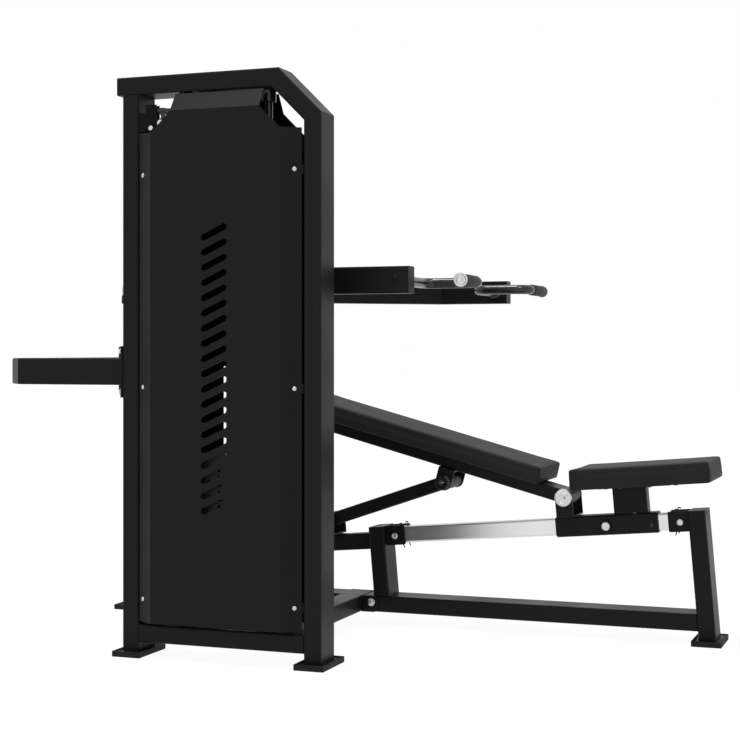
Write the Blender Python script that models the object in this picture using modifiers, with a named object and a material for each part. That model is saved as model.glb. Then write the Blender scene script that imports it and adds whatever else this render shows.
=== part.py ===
"""A multi press machine: a weight tower, a lever press arm and a bench whose seat slide tilts the backrest.

Metres, +Z up. The origin is the floor under the press arm's pivot. +X runs to the bench and +Y points away
from the weight tower. Flat outlines, box tubes and turned profiles are worked out from the named sizes.
"""
import math

import bmesh
import bpy
from mathutils import Matrix, Vector

# Clearances, and the sides of a drilled hole in flat plate
GAP = 0.0003
RUN = 0.0003
HOLE_SIDES = 10
WELD_PAST = 0.0006
OPEN, CLOSED, WELDED = "open", "closed", "welded"

# Frame tube and feet
WALL = 0.0025
CORNER = 0.005
FRAME_WIDE = 0.100
FRAME_THIN = 0.050
FOOT_LONG = 0.158
FOOT_WIDE = 0.086
FOOT_HIGH = 0.015
FOOT_FLOOR = 0.008
FOOT_RIM = 0.006
FOOT_PLATE = 0.004
FOOT_ROUND = 0.004
FOOT_DRAIN_R = 0.010
FLOOR_TUBE_Z = 0.0635

# Weight tower
TOWER_X = 0.666
TOWER_Y = -0.7025
UPRIGHT_SPACING = 0.544
TOWER_HEIGHT = 1.601
TOP_OVERHANG = 0.017
CORNER_LEG = 0.1094
SHEET = 0.0015
SHROUD_OUT = 0.083
SHROUD_FACE = 0.385
SHROUD_FLAP_X = 0.0505
SHROUD_LOW = 0.098
SHROUD_UNDER = 0.055
SHROUD_CUT = 0.060
SHROUD_TOP_FLAP = 0.050
VENT_LONG = 0.070
VENT_WIDE = 0.018
VENT_TILT = 25
VENT_LOW = 0.425
VENT_PITCH = 0.041
VENT_ROWS = 19
WINDOW_WIDE = 0.100
WINDOW_LOW = 0.125
WINDOW_HIGH = 0.800
SCREW_ABOVE = 0.063
SCREW_BELOW = 0.171
TAB_THICK = 0.003
TAB_HIGH = 0.025
TAB_LEG = 0.022
TAB_REACH = 0.037

# Weight stack
ROD_SPACING = 0.250
ROD_R = 0.011
COLLAR_R = 0.020
COLLAR_HIGH = 0.035
BUMPER_R = 0.025
PLATE_LONG = 0.350
PLATE_DEEP = 0.100
PLATE_PITCH = 0.020
PLATE_GAP = 0.0003
PARTING = 0.0006
PARTING_DEEP = 0.005
STACK_LOW = 0.130
LIFTED_COUNT = 6
RESTING_COUNT = 14
HEAD_HIGH = 0.030
SELECTOR_R = 0.0125
SELECTOR_TOP = 0.025
PIN_R = 0.0045
PIN_KNOB_R = 0.016
PIN_KNOB_LONG = 0.022
PIN_REACH = 0.0225

# Cable and pulleys
CABLE_R = 0.0025
CABLE_X = 0.442
CABLE_Y = -0.075
CABLE_SIDE = 0.030
FLOOR_PULLEY_R = 0.035
TOP_PULLEY_R = 0.040
PULLEY_RIM = 0.004
PULLEY_WIDE = 0.018
PULLEY_AXLE_R = 0.006
PULLEY_BOSS_R = 0.012
PULLEY_WEB = 0.008
PULLEY_LIP = 0.0065
PULLEY_FLANGE = 0.005
PULLEY_WINDOWS_R = 0.0228
PULLEY_WINDOW_R = 0.0072
PULLEY_WINDOWS = 6
FLOOR_PULLEY_Z = 0.1285
PULLEY_UNDER = 0.081
CHEEK = 0.004
CHEEK_INSIDE = 0.0095
CHEEK_NOSE = 0.016
BOLT_HEAD = 0.0065
BOLT_HEAD_R = 0.010
BOLT_EDGE = 0.0015
CHEEK_LOW = 0.018
CHEEK_TOP = 0.002
CHEEK_SEAT_HALF = 0.025
CHEEK_HANG_HALF = 0.028
STRAP_NOSE = 0.013
STRAP_LOW = 0.022
STRAP_STEP = 0.030
STRAP_HIGH = 0.052
STRAP_BACK = 0.006
STRAP_FRONT = 0.026

# Main frame
MAIN_TOP = 0.999
FLOOR_BEAM_END = 0.815
CROSS_BEAM_WIDE = 0.075
JOINT_GAP = 0.0055
EAR_THICK = 0.005
JOINT_EAR_PAST = 0.053
JOINT_BOLT_X = 0.031
JOINT_BOLT_Z = 0.069
JOINT_BOLT_R = 0.0063
JOINT_EAR_ROUND = 0.015
JOINT_BEAD_EDGE = 0.010
LINK_WIDE = 0.050
LINK_HIGH = 0.075
LINK_Z = 0.785
LINK_X = -0.0125
LINK_CORNER = 0.03885
FLANGE = 0.006
FLANGE_HIGH = 0.143
FLANGE_HOLE_R = 0.012
STAY_SIZE = 0.050
STAY_Z = 0.2468
STAY_AT_X = 0.764

# Press arm
PIVOT_Z = 1.039
PIVOT_AXLE_R = 0.0125
HUB_R = 0.0285
BLOCK_TOP_R = 0.025
BLOCK_BASE = 0.020
BLOCK_LONG = 0.060
CAP_R = 0.0255
CAP_THICK = 0.0097
CAP_EDGE = 0.0015
ARM_WIDE = 0.050
ARM_HIGH = 0.075
SPINE_END = 0.3162
SPLAY_DEG = 37.7
BEND_X = 0.8925
BEND_Y = 0.502
ARM_END = 1.130
SPINE_DRAIN_X = 0.110
SPINE_DRAIN_R = 0.008
LEVER_WIDE = 0.040
LEVER_HIGH = 0.050
LEVER_R = 0.4675
LEVER_PAST = 0.022
STUD_R = 0.008
EYE_R = 0.014
EYE_THICK = 0.008
EYE_STEM = 0.020
EYE_STEM_HALF = 0.006
STUD_SHOULDER = 0.004
STUD_SHOULDER_LONG = 0.006
STOP_X = 0.130
STOP_Z = 0.905
STOP_SIZE = 0.040
BUFFER_R = 0.018
STOP_PAST = 0.008
HANDLE_R = 0.015
HANDLE_WALL = 0.0025
HANDLE_X = 1.088
HANDLE_IN = 0.262
HANDLE_FRONT = 1.2565
HANDLE_OUT = 0.457
HANDLE_BEND_BACK = 0.035
HANDLE_BEND_FRONT = 0.040
HANDLE_FLANGE_R = 0.022
HANDLE_FLANGE = 0.004
GRIP_R = 0.0175
GRIP_FROM = 0.312
GRIP_CAP = 0.005
GRIP_CAP_R = 0.020

# Bench
TILT_DEG = 4.94
RAIL_X = 0.9685
RAIL_Z = 0.2796
RAIL_SIZE = 0.050
REAR_POST_X = 0.851
REAR_POST_AT = 0.090
FRONT_POST_X = 1.836
FRONT_POST_AT = 0.100
POST_ABOVE_RAIL = 0.030
RAIL_EAR_LONG = 0.062
RAIL_EAR_HIGH = 0.060
RAIL_EAR_ROUND = 0.004
SLEEVE_SIZE = 0.060
SLEEVE_WALL = 0.003
SLEEVE_CORNER = 0.006
SLEEVE_LONG = 0.2993
SLEEVE_X = 1.5726
GLIDE_OUT = 0.0035
GLIDE_CORNER = 0.0046
KNOB_X = 1.574
KNOB_R = 0.0125
KNOB_LONG = 0.014
KNOB_STEM_R = 0.005
KNOB_STEM = 0.006
KNOB_DROP = 0.002
PILLAR_LONG = 0.100
PILLAR_WIDE = 0.050
PILLAR_X = 1.6465
SEAT_PLATE = 0.005
SEAT_PLATE_BACK = 0.030
SEAT_PLATE_FRONT = 0.080
SEAT_PLATE_HALF = 0.070
SEAT_LOW = 0.1133
SEAT_THICK = 0.0567
SEAT_X = 1.6965
SEAT_LONG = 0.3985
PAD_WIDE = 0.260
PAD_RIM = 0.012
PAD_TOP_RIM = 0.009
PAD_LOW_RIM = 0.009
PAD_CROWN = 0.002
PAD_DRAW = 0.002
BACK_THICK = 0.050
BACK_LONG = 0.780
BACK_START = 0.0796
BACK_PLATE = 0.003
BACK_PLATE_HALF = 0.090
BACK_PLATE_HEAD = 0.060
BACK_PLATE_FOOT = 0.040
BACK_TUBE_HIGH = 0.040
BACK_TUBE_LONG = 0.830
BACK_DEG = 15.0
DRAIN_R = 0.004
BACK_DRAIN = 0.050
HINGE = (1.452, 0.4113)
PROP_PIVOT = (1.081, 0.4450)
FOOT_PIVOT = (0.688, 0.3100)
PROP_HIGH = 0.040
PROP_WIDE = 0.080
BRACKET_LONG = 0.051
BRACKET_PLATE = 0.005
BRACKET_INSIDE = 0.060
HINGE_BARREL_R = 0.025
PROP_BARREL_R = 0.023
BARREL_HALF = 0.0595
PIVOT_PIN_R = 0.008
PIVOT_CAP = 0.0045
PIVOT_CAP_EDGE = 0.0012
FOOT_BARREL_WALL = 0.004

# Values that follow from the sizes above
TILT = math.radians(TILT_DEG)
FOOT_TOP = FOOT_FLOOR + GAP + FOOT_PLATE
REAR_X = TOWER_X - UPRIGHT_SPACING / 2
FRONT_X = TOWER_X + UPRIGHT_SPACING / 2
TOP_TUBE_Z = TOWER_HEIGHT - FRAME_THIN / 2
TOP_UNDER = TOWER_HEIGHT - FRAME_THIN
FLOOR_TUBE_TOP = FLOOR_TUBE_Z + FRAME_THIN / 2
SHROUD_HIGH = TOP_UNDER - SHROUD_UNDER
SCREW_ROWS = (SHROUD_LOW + SCREW_ABOVE, (SHROUD_LOW + SCREW_ABOVE + SHROUD_HIGH - SCREW_BELOW) / 2,
              SHROUD_HIGH - SCREW_BELOW)
TOP_PULLEY_Z = TOP_UNDER - PULLEY_UNDER
PLATE_COUNT = LIFTED_COUNT + RESTING_COUNT
STACK_TOP = STACK_LOW + PLATE_COUNT * PLATE_PITCH
LIFT_Z = STACK_LOW + RESTING_COUNT * PLATE_PITCH
HEAD_TOP = STACK_TOP + HEAD_HIGH
RAIL_DIR = Vector((math.cos(TILT), 0, math.sin(TILT)))
RAIL_UP = Vector((-math.sin(TILT), 0, math.cos(TILT)))
ACROSS = Vector((0, 1, 0))
X = Vector((1, 0, 0))
Z = Vector((0, 0, 1))

for old in list(bpy.data.objects):
    bpy.data.objects.remove(old, do_unlink=True)
PARTS = bpy.data.collections.new("multi_press_machine")
CUTTERS = bpy.data.collections.new("cutters")
bpy.context.scene.collection.children.link(PARTS)
bpy.context.scene.collection.children.link(CUTTERS)

# Finishes: base colour, roughness, metallic
POWDER = ((0.020, 0.020, 0.022), 0.45, 0.0)
CHROME = ((0.78, 0.78, 0.80), 0.12, 1.0)
ZINC = ((0.70, 0.70, 0.70), 0.30, 1.0)
RUBBER = ((0.018, 0.018, 0.018), 0.75, 0.0)
VINYL = ((0.030, 0.030, 0.030), 0.50, 0.0)
PLATE_PAINT = ((0.030, 0.030, 0.031), 0.55, 0.2)
NYLON = ((0.025, 0.025, 0.025), 0.50, 0.0)
BLACK_GLOSS = ((0.015, 0.015, 0.016), 0.25, 0.0)


# Objects, cuts and welds

def material(name, finish):
    """A Principled material from a finish."""
    made = bpy.data.materials.new(name + "_finish")
    made.use_nodes = True
    shader = made.node_tree.nodes["Principled BSDF"]
    shader.inputs["Base Color"].default_value = (*finish[0], 1)
    shader.inputs["Roughness"].default_value = finish[1]
    shader.inputs["Metallic"].default_value = finish[2]
    return made


def finish_object(name, bm, finish, parent=None, smooth=True, collection=PARTS):
    """Make bm, in world coordinates, an object placed at the middle of its own box."""
    bmesh.ops.recalc_face_normals(bm, faces=bm.faces)
    low = Vector([min(v.co[i] for v in bm.verts) for i in range(3)])
    high = Vector([max(v.co[i] for v in bm.verts) for i in range(3)])
    middle = (low + high) / 2
    bmesh.ops.translate(bm, verts=bm.verts, vec=-middle)
    mesh = bpy.data.meshes.new(name)
    bm.to_mesh(mesh)
    bm.free()
    obj = bpy.data.objects.new(name, mesh)
    obj.location = middle
    if parent:
        obj.parent = parent
        obj.location = middle - parent.location
    collection.objects.link(obj)
    if finish:
        mesh.materials.append(material(name, finish))
    if smooth:
        mesh.shade_smooth()
        mesh.set_sharp_from_angle(angle=math.radians(35))
    return obj


def pivot(name, place):
    """An empty on a joint's axis, which carries the pieces that move there."""
    empty = bpy.data.objects.new(name, None)
    empty.empty_display_size = 0.05
    empty.location = place
    PARTS.objects.link(empty)
    return empty


def cutter(name, bm):
    """Make bm a hidden cutting body."""
    obj = finish_object(name, bm, None, smooth=False, collection=CUTTERS)
    obj.hide_render = True
    obj.display_type = "WIRE"
    return obj


def cut(obj, tool):
    """Cut tool out of obj."""
    boolean = obj.modifiers.new("Cut", "BOOLEAN")
    boolean.object = tool
    boolean.operation = "DIFFERENCE"
    boolean.solver = "EXACT"


def evaluated(obj):
    """A mesh of obj with its modifiers, as it stands in the world."""
    bpy.context.view_layer.update()
    depsgraph = bpy.context.evaluated_depsgraph_get()
    mesh = bpy.data.meshes.new_from_object(obj.evaluated_get(depsgraph))
    mesh.transform(obj.matrix_world)
    return mesh


def take(bm, obj):
    """Move the evaluated shape of a helper object into bm."""
    mesh = evaluated(obj)
    bm.from_mesh(mesh)
    bpy.data.objects.remove(obj, do_unlink=True)
    bpy.data.meshes.remove(mesh)


def weld(name, pieces, finish, parent=None):
    """One node of several pieces that are welded or pressed together, joined into one body."""
    base = pieces[0]
    for other in pieces[1:]:
        union = base.modifiers.new("Weld", "BOOLEAN")
        union.object = other
        union.operation = "UNION"
        union.solver = "EXACT"
    bm = bmesh.new()
    take(bm, base)
    for other in pieces[1:]:
        bpy.data.objects.remove(other, do_unlink=True)
    return finish_object(name, bm, finish, parent)


class Placed:
    """An empty at a known place, which takes objects made in world coordinates."""

    def __init__(self, empty, place):
        self.empty = empty
        self.place = Vector(place)

    def carry(self, obj):
        obj.parent = self.empty
        obj.location = obj.location - self.place


# Basic bodies, added in world coordinates

def frame_matrix(place, along, side):
    """Local X along, local Y to the side, local Z square to both."""
    along = Vector(along).normalized()
    up = along.cross(Vector(side)).normalized()
    side = up.cross(along)
    turn = Matrix((along, side, up)).transposed()
    return Matrix.Translation(Vector(place)) @ turn.to_4x4()


def add_box(bm, low, high, matrix=Matrix()):
    """A box between two corners of a local frame; returns its corners."""
    low, high = Vector(low), Vector(high)
    scale = Matrix.Diagonal((*(high - low), 1))
    place = matrix @ Matrix.Translation((low + high) / 2) @ scale
    return bmesh.ops.create_cube(bm, size=1, matrix=place)["verts"]


def add_rod(bm, start, end, radius, sides=16):
    """A round bar from start to end."""
    start, end = Vector(start), Vector(end)
    turn = (end - start).to_track_quat("Z", "Y").to_matrix().to_4x4()
    place = Matrix.Translation((start + end) / 2) @ turn
    bmesh.ops.create_cone(bm, cap_ends=True, segments=sides, radius1=radius, radius2=radius,
                          depth=(end - start).length, matrix=place)


def bore_radius(radius, sides):
    """The faceted cutter radius whose flats clear a round bar of this radius."""
    return (radius + RUN) / math.cos(math.pi / sides)


def add_turned(bm, profile, start, axis, sides=20, ring=False):
    """A profile of (radius, height) points turned about axis, with height measured from start."""
    mesh = bpy.data.meshes.new("profile")
    edges = [(i, i + 1) for i in range(len(profile) - 1)]
    if ring:
        edges.append((len(profile) - 1, 0))
    mesh.from_pydata([(r, 0, h) for r, h in profile], edges, [])
    obj = bpy.data.objects.new("profile", mesh)
    CUTTERS.objects.link(obj)
    screw = obj.modifiers.new("Screw", "SCREW")
    screw.axis = "Z"
    screw.steps = sides
    screw.render_steps = sides
    screw.use_merge_vertices = True
    screw.merge_threshold = 0.00005
    turn = Vector(axis).to_track_quat("Z", "Y").to_matrix().to_4x4()
    obj.matrix_world = Matrix.Translation(Vector(start)) @ turn
    take(bm, obj)


def add_plate(bm, outline, thick, matrix, holes=()):
    """A flat plate with outline and round holes (x, y, radius) in matrix's XY plane, centred on it."""
    curve = bpy.data.curves.new("outline", "CURVE")
    curve.dimensions = "2D"
    curve.fill_mode = "BOTH"
    curve.extrude = thick / 2
    loops = [outline]
    for x, y, radius in holes:
        loops.append(arc((x, y), radius, 0, 360 - 360 / HOLE_SIDES, HOLE_SIDES - 1))
    for loop in loops:
        spline = curve.splines.new("POLY")
        spline.points.add(len(loop) - 1)
        for point, (x, y) in zip(spline.points, loop):
            point.co = (x, y, 0, 1)
        spline.use_cyclic_u = True
    obj = bpy.data.objects.new("outline", curve)
    CUTTERS.objects.link(obj)
    obj.matrix_world = matrix
    plate = bmesh.new()
    take(plate, obj)
    bmesh.ops.remove_doubles(plate, verts=plate.verts, dist=0.00001)
    mesh = bpy.data.meshes.new("plate")
    plate.to_mesh(mesh)
    plate.free()
    bm.from_mesh(mesh)
    bpy.data.meshes.remove(mesh)


def arc(centre, radius, start_deg, end_deg, steps=8):
    """Points on an arc from one angle to the other, both included."""
    points = []
    for i in range(steps + 1):
        angle = math.radians(start_deg + (end_deg - start_deg) * i / steps)
        points.append((centre[0] + radius * math.cos(angle), centre[1] + radius * math.sin(angle)))
    return points


def mitre(point, along_a, along_b):
    """The cutting plane between two tubes that meet at point, as seen from the first."""
    return Vector(point), (Vector(along_a).normalized() + Vector(along_b).normalized()).normalized()


def box_tube(name, middle, along, wide, high, ends, side=ACROSS, wall=WALL, corner=CORNER, finish=None):
    """A hollow box tube on a centre line, cut at both ends.

    Each end is (point, outward normal, kind). An open end stops half a gap short of its plane, a closed end
    is capped on it, and a welded end runs a little past it, into what it is welded to.
    """
    shells = bmesh.new()
    matrix = frame_matrix(middle, along, side)
    back = {OPEN: GAP / 2, CLOSED: 0, WELDED: -WELD_PAST}
    for inset in (0, wall):
        shell = bmesh.new()
        add_box(shell, (-3, inset - wide / 2, inset - high / 2), (3, wide / 2 - inset, high / 2 - inset))
        long_edges = [e for e in shell.edges if abs(e.verts[0].co.x - e.verts[1].co.x) > 1]
        bmesh.ops.bevel(shell, geom=long_edges, offset=max(corner - inset, wall * 0.2),
                        segments=1 if inset else 2, profile=0.5, affect="EDGES")
        bmesh.ops.transform(shell, matrix=matrix, verts=shell.verts)
        for point, normal, kind in ends:
            normal = Vector(normal).normalized()
            plane = Vector(point) - normal * (inset if kind == CLOSED else back[kind])
            bmesh.ops.bisect_plane(shell, geom=shell.verts[:] + shell.edges[:] + shell.faces[:],
                                   plane_co=plane, plane_no=normal, clear_outer=True)
            if kind == CLOSED:
                bmesh.ops.contextual_create(shell, geom=rim_edges(shell, plane, normal))
        if inset:
            bmesh.ops.reverse_faces(shell, faces=shell.faces)
        mesh = bpy.data.meshes.new("shell")
        shell.to_mesh(mesh)
        shell.free()
        shells.from_mesh(mesh)
        bpy.data.meshes.remove(mesh)
    for point, normal, kind in ends:
        if kind != CLOSED:
            normal = Vector(normal).normalized()
            plane = Vector(point) - normal * back[kind]
            bmesh.ops.bridge_loops(shells, edges=rim_edges(shells, plane, normal))
    return finish_object(name, shells, finish)


def rim_edges(bm, plane, normal):
    """The open edges of bm that lie on a plane."""
    return [e for e in bm.edges if e.is_boundary
            and all(abs((v.co - plane).dot(normal)) < GAP / 4 for v in e.verts)]


def foot_plate(x, y):
    """The steel plate welded under an upright, which lies in its rubber foot."""
    rim = FOOT_RIM + 2 * GAP
    bm = bmesh.new()
    add_plate(bm, [(rim - FOOT_WIDE / 2, rim - FOOT_LONG / 2), (FOOT_WIDE / 2 - rim, rim - FOOT_LONG / 2),
                   (FOOT_WIDE / 2 - rim, FOOT_LONG / 2 - rim), (rim - FOOT_WIDE / 2, FOOT_LONG / 2 - rim)],
              FOOT_PLATE, Matrix.Translation((x, y, FOOT_FLOOR + GAP + FOOT_PLATE / 2)),
              [(0, 0, FOOT_DRAIN_R)])
    return finish_object("foot_plate", bm, None)


# Weight tower frame

def tower_frame():
    """Box tubes round the stack, mitred at the front top corner, with foot plates and shroud tabs."""
    down = Vector((1, 0, -1)).normalized()
    top_mitre = mitre((FRONT_X - CORNER_LEG, TOWER_Y, TOP_TUBE_Z), X, down)
    front_mitre = mitre((FRONT_X, TOWER_Y, TOP_TUBE_Z - CORNER_LEG), down, -Z)
    half = FRAME_THIN / 2
    rear = box_tube("rear_tube", (REAR_X, TOWER_Y, 1), Z, FRAME_WIDE, FRAME_THIN,
                    [((REAR_X, TOWER_Y, FOOT_TOP), -Z, WELDED),
                     ((REAR_X, TOWER_Y, TOP_UNDER - GAP / 2), Z, OPEN)])
    front = box_tube("front_tube", (FRONT_X, TOWER_Y, 1), -Z, FRAME_WIDE, FRAME_THIN,
                     [(front_mitre[0], -front_mitre[1], OPEN), ((FRONT_X, TOWER_Y, FOOT_TOP), -Z, WELDED)])
    weld("tower_rear_upright", (rear, shroud_tabs(1), foot_plate(REAR_X, TOWER_Y)), POWDER)
    weld("tower_front_upright", (front, shroud_tabs(-1), foot_plate(FRONT_X, TOWER_Y)), POWDER)
    top = box_tube("top_tube", (TOWER_X, TOWER_Y, TOP_TUBE_Z), X, FRAME_WIDE, FRAME_THIN,
                   [((REAR_X - half - TOP_OVERHANG, TOWER_Y, TOP_TUBE_Z), -X, CLOSED), (*top_mitre, WELDED)])
    corner = box_tube("corner_tube", top_mitre[0], down, FRAME_WIDE, FRAME_THIN,
                      [(top_mitre[0], -top_mitre[1], WELDED), (*front_mitre, OPEN)])
    weld("tower_top_tube", (top, corner), POWDER)
    box_tube("tower_bottom_tube", (TOWER_X, TOWER_Y, FLOOR_TUBE_Z), X, FRAME_WIDE, FRAME_THIN,
             [((REAR_X + half + GAP / 2, TOWER_Y, 0), -X, OPEN),
              ((FRONT_X - half - GAP / 2, TOWER_Y, 0), X, OPEN)], finish=POWDER)


# Shrouds and the tabs that carry them

def vent_outline():
    """One slanted slot with round ends, about its own centre."""
    reach = VENT_LONG / 2
    ends = arc((reach, 0), VENT_WIDE / 2, -90, 90, 2) + arc((-reach, 0), VENT_WIDE / 2, 90, 270, 2)
    turn = math.radians(VENT_TILT)
    return [(x * math.cos(turn) - y * math.sin(turn), x * math.sin(turn) + y * math.cos(turn))
            for x, y in ends]


def shroud_sheet(name):
    """The near shroud: one folded sheet, open at its two cut top corners."""
    bm = bmesh.new()
    face = SHROUD_FACE / 2
    front = TOWER_Y - SHROUD_OUT
    flap_y = SHROUD_OUT - FRAME_WIDE / 2
    outline = [(-face, SHROUD_LOW), (face, SHROUD_LOW), (face, SHROUD_HIGH - SHROUD_CUT),
               (face - SHROUD_CUT, SHROUD_HIGH), (SHROUD_CUT - face, SHROUD_HIGH),
               (-face, SHROUD_HIGH - SHROUD_CUT)]
    corners = [bm.verts.new((TOWER_X + x, front, z)) for x, z in outline]
    bmesh.ops.contextual_create(bm, geom=corners)
    folds = {(1, 2): (SHROUD_FLAP_X, flap_y, 0), (5, 0): (-SHROUD_FLAP_X, flap_y, 0),
             (3, 4): (0, flap_y, SHROUD_TOP_FLAP)}
    for (a, b), step in folds.items():
        edge = bm.edges.get((corners[a], corners[b]))
        flap = bmesh.ops.extrude_edge_only(bm, edges=[edge])["geom"]
        verts = [g for g in flap if isinstance(g, bmesh.types.BMVert)]
        bmesh.ops.translate(bm, verts=verts, vec=step)
    bmesh.ops.recalc_face_normals(bm, faces=bm.faces)
    if bm.faces[0].normal.y > 0:
        bmesh.ops.reverse_faces(bm, faces=bm.faces)
    mesh = bpy.data.meshes.new(name)
    for vert in bm.verts:
        vert.co -= Vector((TOWER_X, TOWER_Y, 0))
    bm.to_mesh(mesh)
    bm.free()
    obj = bpy.data.objects.new(name, mesh)
    obj.location = (TOWER_X, TOWER_Y, 0)
    mesh.materials.append(material(name, POWDER))
    PARTS.objects.link(obj)
    solid = obj.modifiers.new("Sheet", "SOLIDIFY")
    solid.thickness = SHEET
    solid.offset = -1
    solid.use_even_offset = True
    return obj


def shroud_tabs(side):
    """Six bent tabs on one upright's inner face, which the shroud's side flaps are screwed to."""
    flap = Vector((SHROUD_FLAP_X, FRAME_WIDE / 2 - SHROUD_OUT, 0)).normalized()
    inward = Vector((-flap.y, flap.x, 0))
    sheet_edge = Vector((-SHROUD_FACE / 2 - SHROUD_FLAP_X, -FRAME_WIDE / 2, 0))
    line = sheet_edge + inward * (SHEET + GAP + TAB_THICK / 2)
    leg_x = -UPRIGHT_SPACING / 2 + FRAME_THIN / 2 + TAB_THICK / 2 - WELD_PAST
    bend = line + flap * ((leg_x - line.x) / flap.x)
    path = [bend + Vector((0, TAB_LEG, 0)), bend, line + flap * TAB_REACH]
    bm = bmesh.new()
    for z in SCREW_ROWS:
        for sy in (1, -1):
            row = [bm.verts.new((TOWER_X + side * p.x, TOWER_Y + sy * p.y, z - TAB_HIGH / 2)) for p in path]
            edges = [bm.edges.new((row[i], row[i + 1])) for i in range(2)]
            top = bmesh.ops.extrude_edge_only(bm, edges=edges)["geom"]
            verts = [g for g in top if isinstance(g, bmesh.types.BMVert)]
            bmesh.ops.translate(bm, verts=verts, vec=(0, 0, TAB_HIGH))
    obj = finish_object("tabs", bm, None)
    solid = obj.modifiers.new("Thickness", "SOLIDIFY")
    solid.thickness = TAB_THICK
    solid.offset = 0
    solid.use_even_offset = True
    return obj


def shrouds():
    """Both shrouds; the far one is the same sheet turned round, with a pin window."""
    near = shroud_sheet("near_shroud")
    far = shroud_sheet("far_shroud")
    far.rotation_euler = (0, 0, math.pi)
    vents = {1: bmesh.new(), -1: bmesh.new()}
    for row in range(VENT_ROWS):
        z = VENT_LOW + row * VENT_PITCH
        for side, bm in vents.items():
            if side < 0 and z < WINDOW_HIGH + VENT_LONG / 2:
                continue
            matrix = frame_matrix((TOWER_X, TOWER_Y - side * SHROUD_OUT, z), (side, 0, 0), (0, 0, 1))
            add_plate(bm, vent_outline(), 0.02, matrix)
    add_box(vents[-1], (TOWER_X - WINDOW_WIDE / 2, TOWER_Y + SHROUD_OUT - 0.01, WINDOW_LOW),
            (TOWER_X + WINDOW_WIDE / 2, TOWER_Y + SHROUD_OUT + 0.01, WINDOW_HIGH))
    cut(near, cutter("near_vents", vents[1]))
    cut(far, cutter("far_vents", vents[-1]))


# Weight stack

def plate_body(low, high):
    """One block of the stack between two heights, without holes."""
    bm = bmesh.new()
    add_box(bm, (TOWER_X - PLATE_LONG / 2, TOWER_Y - PLATE_DEEP / 2, low),
            (TOWER_X + PLATE_LONG / 2, TOWER_Y + PLATE_DEEP / 2, high))
    return bm


def plate_holes(name, low, high):
    """Guide and selector rod holes through a block of the stack."""
    bm = bmesh.new()
    for x, radius in ((-ROD_SPACING / 2, ROD_R), (0, SELECTOR_R), (ROD_SPACING / 2, ROD_R)):
        reach = bore_radius(radius + RUN, 12)
        add_rod(bm, (TOWER_X + x, TOWER_Y, low - 0.01), (TOWER_X + x, TOWER_Y, high + 0.01), reach, 12)
    return cutter(name, bm)


def pin_holes(name, low, count, half_deep):
    """Pin holes across the stack, one for each plate from a height up."""
    bm = bmesh.new()
    for row in range(count):
        z = low + row * PLATE_PITCH + (PLATE_PITCH - PLATE_GAP) / 2
        add_rod(bm, (TOWER_X, TOWER_Y - half_deep, z), (TOWER_X, TOWER_Y + half_deep, z),
                bore_radius(PIN_R, 6), 6)
    return cutter(name, bm)


def partings(name, low, count):
    """The shallow gaps between neighbouring plates, as thin frames round the stack."""
    rings = bmesh.new()
    cores = bmesh.new()
    for row in range(1, count):
        z = low + row * PLATE_PITCH
        add_box(rings, (TOWER_X - PLATE_LONG, TOWER_Y - PLATE_DEEP, z - PARTING),
                (TOWER_X + PLATE_LONG, TOWER_Y + PLATE_DEEP, z))
    long, deep = PLATE_LONG / 2 - PARTING_DEEP, PLATE_DEEP / 2 - PARTING_DEEP
    add_box(cores, (TOWER_X - long, TOWER_Y - deep, low - PLATE_PITCH),
            (TOWER_X + long, TOWER_Y + deep, low + (count + 1) * PLATE_PITCH))
    ring = cutter(name, rings)
    cut(ring, cutter(name + "_core", cores))
    return ring


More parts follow.
